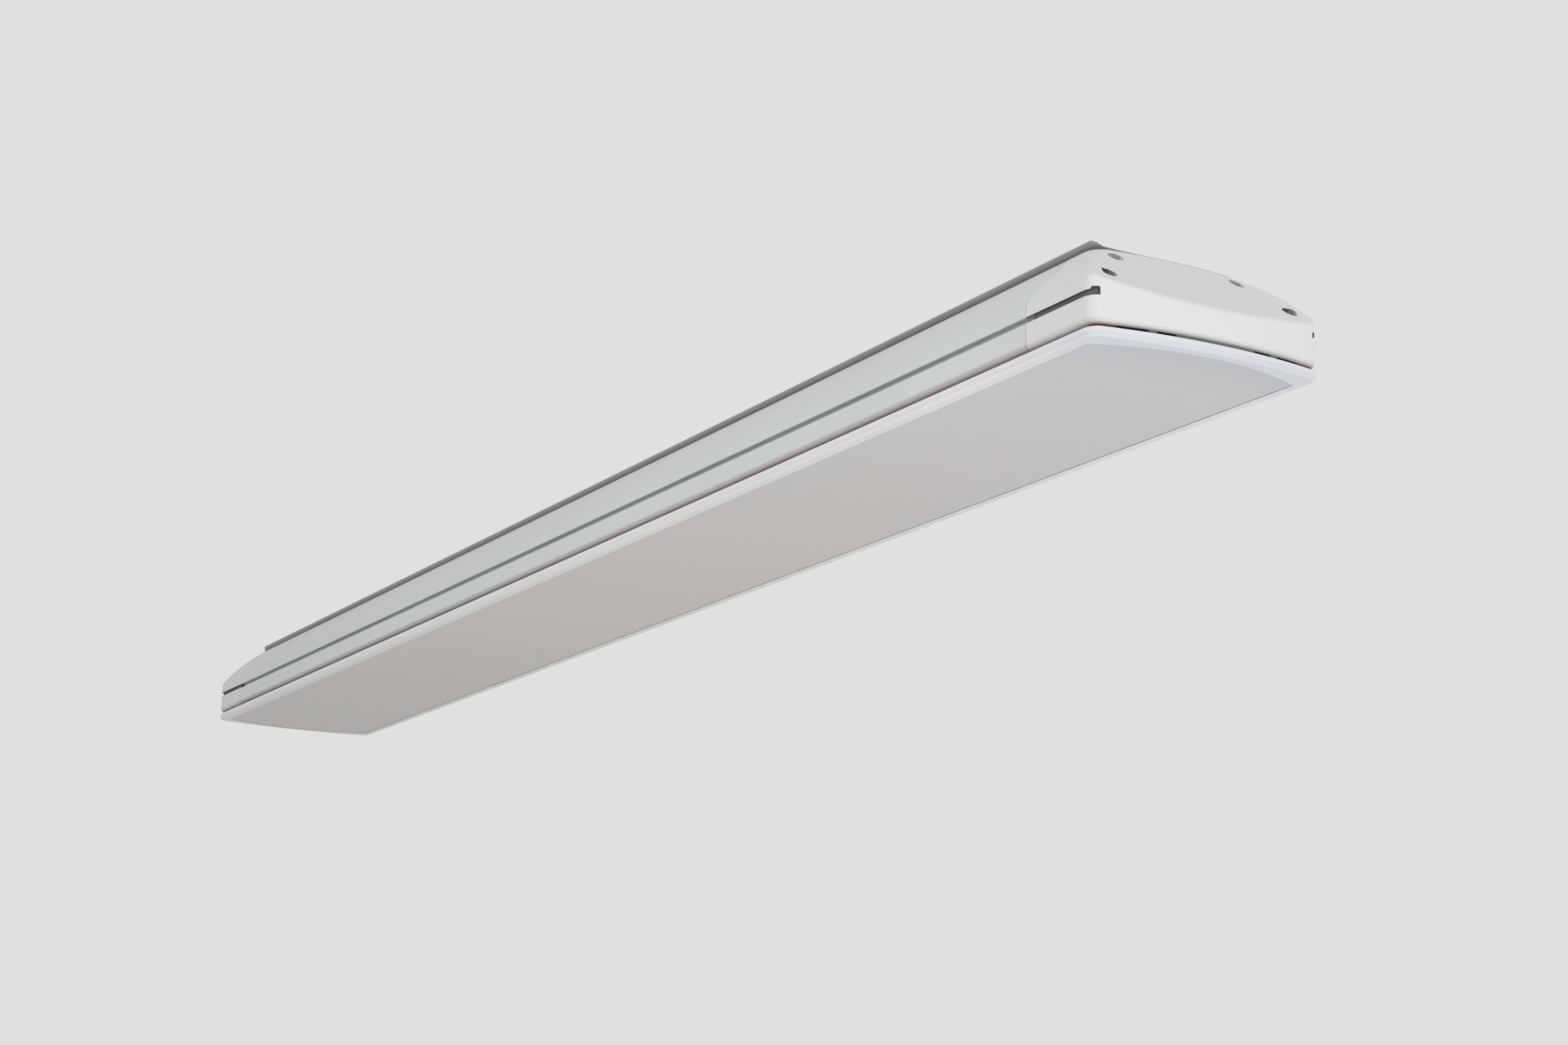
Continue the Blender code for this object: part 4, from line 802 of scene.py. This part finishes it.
def housing_profile():
    """Hat section in (y, z): outside from the top down to the hem, then back inside."""
    back = HALF_WIDTH - GROOVE_DEPTH
    groove_low = HOUSING_BOTTOM + GROOVE_RISE
    groove_high = groove_low + GROOVE_OPENING
    side = HALF_WIDTH - WALL
    drop = WALL * math.hypot(1, FLANK_SLOPE)
    top = HOUSING_TOP - WALL
    lip = HOUSING_BOTTOM + WALL
    lip_edge = HALF_WIDTH - LIP_WIDTH
    half = [
        (HALF_TOP, HOUSING_TOP, FOLD_RADIUS),
        (HALF_WIDTH, SHOULDER, SHOULDER_RADIUS),
        (HALF_WIDTH, groove_high, EDGE),
        (back, groove_high, EDGE),
        (back, groove_low, EDGE),
        (HALF_WIDTH, groove_low, EDGE),
        (HALF_WIDTH, HOUSING_BOTTOM, HEM_RADIUS),
        (lip_edge, HOUSING_BOTTOM, EDGE),
        (lip_edge, lip, EDGE),
        (side, lip, HEM_RADIUS - WALL),
        (side, groove_low - WALL, EDGE),
        (back - WALL, groove_low - WALL, EDGE),
        (back - WALL, groove_high + WALL, EDGE),
        (side, groove_high + WALL, EDGE),
        (side, SHOULDER - drop + WALL * FLANK_SLOPE, SHOULDER_RADIUS - WALL),
        (HALF_TOP + (HOUSING_TOP - drop - top) / FLANK_SLOPE, top, EDGE),
    ]
    y, z, radius = np.array(half).T
    corners = mirrored(np.column_stack((y, z)))
    return rounded(corners, np.concatenate((radius, radius[::-1])))


def make_housing():
    """Folded section from seam to seam, with the wire hole in its top."""
    mesh = extruded("housing_shell", housing_profile(), -SEAM, SEAM)
    shell = add("housing_shell", mesh, "white_paint", "housing")
    low = HOUSING_TOP - 3 * WALL
    cut(shell, drill(TERMINAL_PLACE, 0, low, HOUSING_TOP + WALL, WIRE_HOLE))
    paint(shell, "groove_shade", in_groove)
    paint(shell, "gap_shade", on_lip)
    paint(shell, "seam_shade", at_seam)
    even_shading(shell)


def cap_columns(end):
    """Plan points along a cap's wall, from the near seam round the end to the far seam."""
    start = SEAM + GAP
    return np.vstack(((start, end[0, 1]), end, (start, end[-1, 1])))


def wall_columns(inset):
    """Columns along the foot of a cap's wall, set in by a distance."""
    return cap_columns(set_in(BODY_END, inset))


def top_columns(inset):
    """Columns along the edge of a cap's flat top, set in likewise."""
    return cap_columns(set_in(TOP_END, inset, CAP_EDGE))


def lifted(plan, level):
    """Plan points with one level, or a level each, as their z."""
    return np.column_stack((plan, np.broadcast_to(level, len(plan))))


def ridge_fullness(share):
    """How far the ridges between a cap's flanks and its slope stand out half-way up.

    A round corner lies inside the sharp one by its radius times (1 over the cosine of half
    its turn, less 1). The ridge regains that depth at the middle of the corner, and less
    towards its ends, as the cosine of the angle from the middle falls to that of half the
    turn. It stands out along the corner's bisector, and a share of that up.
    """
    swing = math.asin((HALF_WIDTH - PLAN_CORNER) / (END_BOW - PLAN_CORNER))
    half = (math.pi / 2 - swing) / 2
    angle = abs(2 * share - 1) * half
    regained = (np.cos(angle) - math.cos(half)) / (1 - math.cos(half))
    out = RIDGE_RADIUS * (1 / math.cos(half) - 1) * regained
    bisector = math.pi / 2 - half
    whole = np.ones(len(share))
    side = np.where(np.arange(len(share)) < len(share) / 2, -1.0, 1.0)
    way = np.column_stack((whole, side, whole))
    return out[:, None] * way * (math.cos(bisector), math.sin(bisector), RIDGE_RISE)


def cap_grid():
    """Grid of a cap: a closed section at each column of its plan.

    The section's numbers are those of the housing's flank at the seams and those of the
    sloping end across the front, and the columns of the corners mix the two by their share.
    """
    corner = np.concatenate(((0.0,), np.linspace(0, 1, CORNER_STEPS + 1)))
    share = np.concatenate((corner, np.ones(BOW_STEPS - 1), corner[::-1]))
    walls = wall_columns(0)
    tops = top_columns(0)
    bow_level = HOUSING_TOP - CAP_SLOPE * (np.maximum(walls[:, 0], SEAM) - CAP_TOP_END)
    level = SHOULDER + (bow_level - SHOULDER) * share
    fall = FLANK_SLOPE + (CAP_SLOPE - FLANK_SLOPE) * share
    radius = SHOULDER_RADIUS + (CAP_EDGE - SHOULDER_RADIUS) * share
    thickness = CAP_WALL + (CAP_WEDGE - CAP_WALL) * share
    drop = thickness * np.hypot(1, fall)
    shoulder = lifted(walls, level)
    slope = lifted(tops, HOUSING_TOP) - shoulder
    slope /= np.linalg.norm(slope, axis=1, keepdims=True)
    run = (radius * np.tan(np.arctan(1 / fall) / 2))[:, None]
    below = shoulder - run * (0, 0, 1)
    above = shoulder + run * slope
    rows = []
    for inset, rise in edge_round(HEM_RADIUS, FILLET_STEPS)[::-1]:
        rows.append(lifted(wall_columns(inset), HOUSING_BOTTOM + rise))
    for u in np.linspace(0, 1, FILLET_STEPS + 1):
        rows.append((1 - u) ** 2 * below + 2 * u * (1 - u) * shoulder + u**2 * above)
    top_edge = lifted(tops, HOUSING_TOP)
    fuller = ridge_fullness(share)
    for u in np.linspace(0, 1, RIDGE_STEPS + 1)[1:-1]:
        rows.append((1 - u) * above + u * top_edge + 4 * u * (1 - u) * fuller)
    under = HOUSING_TOP - CAP_FLANGE

    def back_of(wall, slant):
        """Columns where the back of a sloping wall meets the flange from below."""
        return top_columns((wall * math.hypot(1, slant) - CAP_FLANGE) / slant)

    side_back = back_of(CAP_WALL, FLANK_SLOPE)
    inner_top = side_back + (back_of(CAP_WEDGE, CAP_SLOPE) - side_back) * share[:, None]
    flange = top_columns(CAP_FLANGE_WIDTH)
    inner_wall = wall_columns(CAP_WALL)
    rows += [
        lifted(tops, HOUSING_TOP),
        lifted(flange, HOUSING_TOP),
        lifted(flange, under),
        lifted(inner_top, under),
        lifted(inner_wall, level + fall * CAP_WALL - drop),
        lifted(inner_wall, HOUSING_BOTTOM + HEM_RADIUS),
        lifted(wall_columns(HEM_RADIUS), HOUSING_BOTTOM + CAP_WALL),
        lifted(wall_columns(LIP_WIDTH), HOUSING_BOTTOM + CAP_WALL),
        lifted(wall_columns(LIP_WIDTH), HOUSING_BOTTOM),
    ]
    return np.stack(rows, axis=1)


def groove_tool(side):
    """Shallow groove in a cap's side wall, from the seam into its slot."""
    low = HOUSING_BOTTOM + GROOVE_RISE
    high = low + GROOVE_OPENING
    start = SEAM - TOOL_REACH
    end = SEAM + SLOT_START + GROOVE_OVERLAP
    rows = [
        [(start, y, low), (end, y, low), (end, y, high), (start, y, high)]
        for y in (side * (HALF_WIDTH - CAP_GROOVE_DEPTH), side * (HALF_WIDTH + TOOL_REACH))
    ]
    return skin("groove", np.array(rows))


def slot_tool(side):
    """Slot along a cap's wall: a rectangle carried straight, then round the plan's corner.

    A point of the turn lies at the corner's centre plus the radius times (sine, cosine) of
    its angle. The rectangle is low along the slot, tall along its head and a little lower
    at the head's end.
    """
    across = HALF_WIDTH - PLAN_CORNER
    centre = APEX - END_BOW + math.sqrt((END_BOW - PLAN_CORNER) ** 2 - across**2)
    head = math.asin((SLOT_END - SLOT_HEAD_LENGTH - centre) / PLAN_CORNER)
    end = math.asin((SLOT_END - centre) / PLAN_CORNER)
    slim = np.concatenate(((0.0,), np.linspace(0, head, SLOT_STEPS)))
    tall = np.linspace(head + SLOT_HEAD_TURN, end - SLOT_HEAD_TURN, SLOT_STEPS)
    angle = np.concatenate((slim, tall, (end,)))
    rise = np.full(len(angle), SLOT_HEAD)
    rise[: len(slim)] = GROOVE_OPENING
    rise[-1] -= SLOT_END_DROP
    along = np.full(len(angle), centre)
    along[0] = SEAM + SLOT_START
    level = np.full(len(angle), HOUSING_BOTTOM + GROOVE_RISE)
    sides = []
    for radius in (PLAN_CORNER - SLOT_DEPTH, PLAN_CORNER + TOOL_REACH):
        x = along + radius * np.sin(angle)
        y = side * (across + radius * np.cos(angle))
        sides.append((x, y))
    (x0, y0), (x1, y1) = sides
    ring = [(x0, y0, level), (x1, y1, level), (x1, y1, level + rise), (x0, y0, level + rise)]
    return skin("slot", np.stack([np.column_stack(point) for point in ring], axis=1))


def slope_frame():
    """Frame on the cap's sloping end: X runs down the slope and Z out of it."""
    edge = Matrix.Translation((CAP_TOP_END, 0, HOUSING_TOP))
    return edge @ Matrix.Rotation(CAP_LEAN, 4, "Y")


def recess_tool(down, across, shades):
    """Round pocket with a small flare at its floor, square to the slope.

    Its wall has painted shade that changes with the angle round the pocket's axis, at
    POCKET_ANGLES, as though lit from one side, and ends with the finish that it begins with.
    """
    heights = [-RECESS_DEPTH, -RECESS_DEPTH + EDGE, RECESS_REACH]
    mesh = turned("recess", [RECESS_RADIUS - EDGE, RECESS_RADIUS, RECESS_RADIUS], heights)
    x, y, _ = face_values(mesh, "center").T
    angle = np.degrees(np.arctan2(y, x)) % 360
    mesh.polygons.foreach_set("material_index", np.digitize(angle, POCKET_ANGLES))
    for shade in (*shades, shades[0]):
        mesh.materials.append(FINISHES[shade])
    return placed(mesh, slope_frame() @ Matrix.Translation((down, across, 0)))


def screw_places():
    """Places of a cap's screws on its slope: how far down and across."""
    places = {}
    for label, (down, across) in (("upper", UPPER_SCREW), ("lower", LOWER_SCREW)):
        for side, sign in (("near", -1), ("far", 1)):
            places[f"{label}_{side}"] = (down, sign * across)
    return places


def make_caps():
    """Both end caps with their slots and recesses, and the screws' heads."""
    for end, turn in TURNS.items():
        half_round = Matrix.Rotation(turn, 4, "Z")
        mesh = placed(skin(f"cap_{end}", cap_grid()), half_round)
        cap = add(f"cap_{end}", mesh, "white_moulding", f"end_cap_{end}")
        for side in (-1, 1):
            cut(cap, placed(slot_tool(side), half_round), inside="slot_shade")
            cut(cap, placed(groove_tool(side), half_round), inside="cap_groove_shade")
        for label, spot in screw_places().items():
            shades = POCKET_SHADES[label.split("_")[0]]
            cut(cap, placed(recess_tool(*spot, shades), half_round))
        paint(cap, "gap_shade", on_lip)
        paint(cap, "deep_gap_shade", on_end_lip)
        paint(cap, "corner_gap_shade", at_corners(on_end_lip))
        paint(cap, "seam_shade", at_seam)
        even_shading(cap)
        for label, spot in screw_places().items():
            place = half_round @ slope_frame() @ Matrix.Translation((*spot, 0))
            add_screw("cap", f"cap_screw_{end}_{label}", place)


def screw_mesh(seat, height, radius, shank, tip):
    """Pan-head screw about Z with a cross recess.

    The head's top is a height field on rings of points: a dome that falls with the square
    of the distance from the axis, less a cross whose arms have sloping sides.
    """
    spread = np.linspace(0.02, 1, HEAD_RINGS)[:, None] * radius
    angle = full_turn(ROUND_STEPS)
    x = spread * np.cos(angle)
    y = spread * np.sin(angle)
    dome = seat + height * (1 - DOME_FALL * (spread / radius) ** 2)
    narrow = np.minimum(abs(x), abs(y)) / (CROSS_WIDTH * radius)
    long = np.maximum(abs(x), abs(y)) / (CROSS_LENGTH * radius)
    depth = np.clip(1.8 - 1.2 * narrow, 0, 1) * np.clip((1 - long) * 4, 0, 1)
    top = spun(spread, angle, dome - CROSS_DEPTH * height * depth)
    radii, levels = np.array([(radius, seat), (shank, seat), (shank, tip)]).T[:, :, None]
    return skin("screw", np.concatenate((top, spun(radii, angle, levels))))


def add_screw(kind, node, place):
    """Screw of one of the kinds, in place of its CAD node."""
    add(f"{node}_head", placed(screw_mesh(*SCREWS[kind]), place), "steel", node)


def make_frame():
    """Bezel: one closed section carried round the bar's outline."""
    rings = []
    for inset, rise in edge_round(FRAME_EDGE, FILLET_STEPS)[::-1]:
        rings.append((body_outline(inset), FRONT + rise))
    opening = GLASS_FIT + GLASS_ROOM
    rings += [
        (body_outline(0), FRAME_TOP - FRAME_CHAMFER),
        (body_outline(FRAME_CHAMFER), FRAME_TOP),
        (body_outline(FRAME_WALL), FRAME_TOP),
        (body_outline(FRAME_WALL), GLASS_BACK),
        (glass_outline(opening), GLASS_BACK),
        (glass_outline(opening), FRONT + FRAME_CHAMFER),
        (glass_outline(opening + FRAME_CHAMFER), FRONT),
    ]
    mesh = skin("bezel", stacked(rings), closed=True)
    bezel = add("bezel", mesh, "frame_paint", "front_frame", slot="white_paint")
    paint(bezel, "gap_shade", on_bezel_top)
    paint(bezel, "deep_gap_shade", on_bezel_end)
    paint(bezel, "corner_gap_shade", at_corners(on_bezel_end))
    paint(bezel, "joint_shade", on_glass_joint)
    even_shading(bezel)


def make_glass():
    """Pane: its outline lifted through its thickness, with softly ground front edges."""
    rings = [(glass_outline(GLASS_FIT), GLASS_BACK)]
    for inset, rise in edge_round(GLASS_EDGE, 3):
        rings.append((glass_outline(GLASS_FIT - inset), FRONT + GLASS_SETBACK + rise))
    mesh = skin("glass_pane", stacked(rings))
    even_shading(add("glass_pane", mesh, "frosted_glass", "front_glass"))


# Back of the heater


def cover_rim(inset):
    """Plan of the rear cover's top: straight slanting ends whose near corners have an ear."""
    corner = max(COVER_CORNER - inset, EDGE)
    across = HALF_TOP - GAP - COVER_CORNER
    near_x = COVER_RIM_NEAR - COVER_CORNER
    far_x = COVER_RIM_FAR - COVER_CORNER
    near = arc((near_x + COVER_EAR, -across), corner, -math.pi / 2, 0, CORNER_STEPS)
    far = arc((far_x, across), corner, 0, math.pi / 2, CORNER_STEPS)
    share = np.linspace(0, 1, BOW_STEPS + 1)[1:-1]
    x = near_x + (far_x - near_x) * share + corner
    end = np.vstack((near, np.column_stack((x, across * (2 * share - 1))), far))
    return np.vstack((end, end[::-1] * (-1, 1)))


def make_rear_cover():
    """Tray: ramps rise from a bowed foot to the rim, and a small fillet turns on to the top."""
    low = HOUSING_TOP + GAP
    foot = both_ends(set_in(TOP_END, GAP))
    share = (COVER_TOP - COVER_ROUND - low) / (COVER_TOP - low)
    ramp = foot + (cover_rim(0) - foot) * share
    rings = [(foot, low), (ramp, COVER_TOP - COVER_ROUND)]
    for inset, drop in edge_round(COVER_ROUND, 4)[1:]:
        rings.append((cover_rim(inset), COVER_TOP - drop))
    mesh = skin("back_tray", stacked(rings))
    cover = add("back_tray", mesh, "tray_metal", "rear_cover", slot="dark_metal")
    ceiling = COVER_TOP - COVER_WALL
    half_hollow = HALF_TOP - GAP - COVER_WALL
    hollow = box_outline(2 * (COVER_RIM_FAR - COVER_WALL), 2 * half_hollow, radius=0.001)
    tools = [upright("hollow", hollow, low - 2 * OVERCUT, ceiling)]
    through = (ceiling - OVERCUT, COVER_TOP + OVERCUT)
    for x in HANGERS.values():
        slot = box_outline(SLOT_LENGTH, SLOT_WIDTH, SLOT_CORNER, (x, 0))
        tools.append(upright("slot", slot, *through))
    tools.append(drill(TERMINAL_PLACE, 0, *through, WIRE_HOLE))
    even_shading(cut(cover, *tools))
    for label, x in (("left", -BOLT_SPREAD), ("middle", 0), ("right", BOLT_SPREAD)):
        add_screw("cover", f"cover_bolt_{label}", Matrix.Translation((x, 0, 0)))


def six_flats(angle):
    """Radius of a hexagon in units of its corner radius, against the angle."""
    return math.cos(math.pi / 6) / np.cos((angle % (math.pi / 3)) - math.pi / 6)


def threaded_rod(low, high):
    """Rod about Z whose radius dips by a wave that climbs one pitch per turn.

    The dip fades out at both ends into a small chamfer.
    """
    rows = int((high - low) / THREAD_PITCH * 8)
    z = np.linspace(low, high, rows)[:, None]
    angle = full_turn(THREAD_STEPS)
    wave = 0.5 - 0.5 * np.cos(2 * math.pi * (z / THREAD_PITCH) - angle)
    ends = np.minimum(z - low, high - z)
    chamfer = np.clip(1 - ends / THREAD_DEPTH, 0, 1) * THREAD_DEPTH
    radius = POST_RADIUS - np.maximum(THREAD_DEPTH * wave, chamfer)
    return skin("threaded_rod", spun(radius, angle, z))


def nut_mesh(low):
    """Hexagon nut: flats limited by a cone at both faces, with a round bore."""
    share = np.array([0, 0.12, 0.88, 1, 1, 0])
    reach = np.array([0.90, 1.0, 1.0, 0.90])[:, None]
    angle = full_turn(ROUND_STEPS)
    flats = NUT_RADIUS * np.minimum(six_flats(angle), reach)
    bore = np.full((2, ROUND_STEPS), NUT_BORE)
    height = (low + NUT_HEIGHT * share)[:, None]
    return skin("nut", spun(np.vstack((flats, bore)), angle, height), closed=True)


def plate_mesh(length, width, corner, low, high, edge):
    """Flat plate with a chamfer round both faces."""
    rings = []
    for inset, z in ((edge, low), (0, low + edge), (0, high - edge), (edge, high)):
        outline = box_outline(length - 2 * inset, width - 2 * inset, corner - inset)
        rings.append((outline, z))
    return skin("plate", stacked(rings))


def make_hangers():
    """Hangers: a slider in each slot, a stud, its nut and a drilled plate."""
    shoe_low = HOUSING_TOP + SHOE_GAP
    shoe_high = COVER_TOP - COVER_WALL - SHOE_GAP
    neck_high = COVER_TOP + NECK_RISE
    neck = SLOT_WIDTH / 2 - GAP
    floor = shoe_low + SHOE_FLOOR
    bore = POST_RADIUS + GAP
    half = [
        (neck, neck_high),
        (neck, shoe_high),
        (SHOE_WIDTH / 2, shoe_high),
        (SHOE_WIDTH / 2, shoe_low),
    ]
    profile = rounded(mirrored(half), EDGE)
    length, width, thickness = PLATE_SIZE
    for side, x in HANGERS.items():
        body = f"hanger_{side}"
        move = Matrix.Translation((x, 0, 0))
        mesh = extruded("slider", profile, x - SHOE_LENGTH / 2, x + SHOE_LENGTH / 2)
        slider = add(f"slider_{side}", mesh, "steel", f"hanger_shoe_{side}", body=body)
        cut(slider, drill(x, 0, floor, neck_high + OVERCUT, bore))
        mesh = placed(threaded_rod(floor + GAP, -GAP), move)
        add(f"stud_{side}", mesh, "steel", f"hanger_post_{side}", body=body)
        mesh = placed(nut_mesh(neck_high + GAP), move)
        add(f"nut_{side}", mesh, "steel", f"lock_nut_{side}", body=body)
        mesh = placed(plate_mesh(length, width, PLATE_CORNER, -thickness, 0, PLATE_EDGE), move)
        plate = add(f"plate_{side}", mesh, "dark_metal", f"ceiling_plate_{side}", body=body)
        holes = [drill(x, 0, -2 * thickness, thickness, bore)]
        for place in (-PLATE_HOLE_PLACE, PLATE_HOLE_PLACE):
            holes.append(drill(x + place, 0, -2 * thickness, thickness, PLATE_HOLE))
        even_shading(cut(plate, *holes))


def make_terminal_cover():
    """Shallow box over the wiring, with rounded upper edges and a port for the gland."""
    length, width, _ = TERMINAL_SIZE
    base = COVER_TOP + GAP
    outline = box_outline(length, width, TERMINAL_CORNER, (TERMINAL_PLACE, 0))
    rings = [(outline, base)]
    for inset, drop in edge_round(TERMINAL_EDGE, 5):
        outline = box_outline(
            length - 2 * inset, width - 2 * inset, TERMINAL_CORNER - inset, (TERMINAL_PLACE, 0)
        )
        rings.append((outline, TERMINAL_TOP - drop))
    mesh = skin("terminal_lid", stacked(rings))
    lid = add("terminal_lid", mesh, "dark_metal", "terminal_cover")
    room = box_outline(
        TERMINAL_ROOM, width - 2 * TERMINAL_WALL, radius=0.002, centre=(TERMINAL_PLACE, 0)
    )
    hollow = upright("hollow", room, base - 2 * OVERCUT, TERMINAL_TOP - TERMINAL_WALL)
    port = turned("port", [GLAND_THREAD + GAP] * 2, GLAND_PORT)
    port = placed(port, Matrix.Translation(GLAND_PLACE) @ Matrix.Rotation(math.pi / 2, 4, "Y"))
    even_shading(cut(lid, hollow, port))
    for label, x in (("left", -TERMINAL_SCREW), ("right", TERMINAL_SCREW)):
        place = Matrix.Translation((TERMINAL_PLACE + x, 0, 0))
        add_screw("terminal", f"terminal_screw_{label}", place)


def make_gland():
    """Cable gland: a hexagon collar, a ribbed cap that narrows to its mouth, and a bore.

    Each station has a radius, a place along the axis and a kind: 0 round, 1 hexagon and 2
    ribbed, where the radius dips with the cosine of 16 times the angle.
    """
    out = GLAND_LENGTH
    stations = [
        (GLAND_THREAD, -GLAND_ENTRY, 0),
        (GLAND_THREAD, GAP, 0),
        (GLAND_RADIUS, GAP, 1),
        (GLAND_RADIUS, 0.0055, 1),
        (GLAND_THREAD, 0.0057, 0),
        (GLAND_THREAD, 0.0068, 0),
        (GLAND_RADIUS * 0.97, 0.0070, 2),
        (GLAND_RADIUS * 0.97, 0.0170, 2),
        (GLAND_RADIUS * 0.90, 0.0195, 2),
        (GLAND_RADIUS * 0.80, out - 0.0006, 0),
        (GLAND_RADIUS * 0.74, out, 0),
        (GLAND_BORE, out, 0),
        (GLAND_BORE, -GLAND_ENTRY, 0),
    ]
    radii, heights, kinds = np.array(stations).T

    def flats_and_ribs(ring, angle):
        """Share of the radius at an angle, by the kind of the ring."""
        kind = kinds[ring.astype(int)]
        ribs = 1 - 0.06 * (0.5 + 0.5 * np.cos(16 * angle))
        return np.where(kind == 1, six_flats(angle), np.where(kind == 2, ribs, 1.0))

    mesh = turned("gland", radii, heights, steps=GLAND_STEPS, closed=True, shape=flats_and_ribs)
    lying = Matrix.Translation(GLAND_PLACE) @ Matrix.Rotation(-math.pi / 2, 4, "Y")
    add("gland_body", placed(mesh, lying), "black_plastic", "cable_gland")


def dress_nodes():
    """Give each CAD node the finish of its material slot, and the frame's clips that of the
    spacers.
    """
    for row in frame["record"]["subparts"]:
        node = frame["nodes"][row["node"]]
        node.data.materials.clear()
        finish = "spacer" if row["node"].startswith("frame_clip") else row["material_slot"]
        node.data.materials.append(FINISHES[finish])


# Studio


def make_floor():
    """Plain pale floor, which the camera sees partly as backdrop and not at all from below."""
    graph = Graph("studio_floor")
    cloud = graph.ranged(graph.noise(0.6), 0.0, 1.0)
    graph.colour(graph.blend(cloud, (0.80, 0.80, 0.80), (0.82, 0.82, 0.82)))
    graph.set(Roughness=0.9)
    side = graph.node("ShaderNodeNewGeometry")
    clear = graph.node("ShaderNodeBsdfTransparent")
    glow = graph.node("ShaderNodeEmission", {"Color": (BACKDROP, BACKDROP, BACKDROP, 1.0)})
    path = graph.node("ShaderNodeLightPath")
    share = graph.math("MULTIPLY", path.outputs["Is Camera Ray"], BACKDROP_SHARE)
    lit = graph.shader.outputs[0]
    seen = graph.node("ShaderNodeMixShader", {0: share, 1: lit, 2: glow.outputs[0]})
    either = graph.node(
        "ShaderNodeMixShader",
        {0: side.outputs["Backfacing"], 1: seen.outputs[0], 2: clear.outputs[0]},
    )
    out = graph.tree.nodes["Material Output"]
    graph.tree.links.new(either.outputs[0], out.inputs["Surface"])
    mesh = bpy.data.meshes.new("floor")
    square = ((-1, -1), (1, -1), (1, 1), (-1, 1))
    corners = [(x * FLOOR_REACH, y * FLOOR_REACH, 0) for x, y in square]
    mesh.from_pydata(corners, [], [(0, 1, 2, 3)])
    mesh.materials.append(graph.material)
    floor = put("floor", mesh)
    floor.location.z = FLOOR_LEVEL


def make_world():
    """Even light from all round. The camera and mirrors see the pale backdrop instead."""
    world = bpy.data.worlds.new("studio")
    bpy.context.scene.world = world
    world.use_nodes = True
    tree = world.node_tree
    lit = tree.nodes["Background"]
    lit.inputs["Color"].default_value = (1.0, 1.0, 1.0, 1.0)
    lit.inputs["Strength"].default_value = AMBIENT
    seen = add_node(tree, "ShaderNodeBackground", {"Color": (BACKDROP, BACKDROP, BACKDROP, 1.0)})
    path = add_node(tree, "ShaderNodeLightPath").outputs
    rays = path["Is Camera Ray"], path["Is Glossy Ray"], path["Is Transmission Ray"]
    mirror = add_node(tree, "ShaderNodeMath", {0: rays[0], 1: rays[1]}, operation="MAXIMUM")
    pair = {0: mirror.outputs[0], 1: rays[2]}
    through = add_node(tree, "ShaderNodeMath", pair, operation="MAXIMUM")
    sources = {0: through.outputs[0], 1: lit.outputs[0], 2: seen.outputs[0]}
    either = add_node(tree, "ShaderNodeMixShader", sources)
    tree.links.new(either.outputs[0], tree.nodes["World Output"].inputs["Surface"])


def make_lamp(name, place, target, size, power):
    """Square soft lamp that faces a target."""
    lamp = bpy.data.lights.new(name, "AREA")
    lamp.size = size
    lamp.energy = power
    holder = put(name, lamp)
    holder.location = place
    holder.rotation_euler = (Vector(target) - Vector(place)).to_track_quat("-Z", "Y").to_euler()


def make_camera():
    """Camera below the heater's near right-hand end, looking up along the bar."""
    azimuth, elevation, roll = (math.radians(a) for a in CAMERA_ANGLES)
    ahead = Vector((math.cos(azimuth), math.sin(azimuth), math.tan(elevation))).normalized()
    level = ahead.cross(Vector((0, 0, 1))).normalized()
    upright = level.cross(ahead)
    right = level * math.cos(roll) + upright * math.sin(roll)
    up = upright * math.cos(roll) - level * math.sin(roll)
    camera = bpy.data.cameras.new("camera")
    camera.lens = CAMERA_LENS
    camera.sensor_width = 36.0
    holder = put("camera", camera)
    pose = Matrix((right, up, -ahead)).transposed().to_4x4()
    pose.translation = CAMERA_PLACE
    holder.matrix_world = pose
    bpy.context.scene.camera = holder
    bpy.context.scene.view_settings.view_transform = "Standard"


make_camera()
make_world()
make_floor()
for lamp, (place, target, size, power) in LAMPS.items():
    make_lamp(lamp, place, target, size, power)
dress_nodes()
make_housing()
make_caps()
make_frame()
make_glass()
make_rear_cover()
make_hangers()
make_terminal_cover()
make_gland()
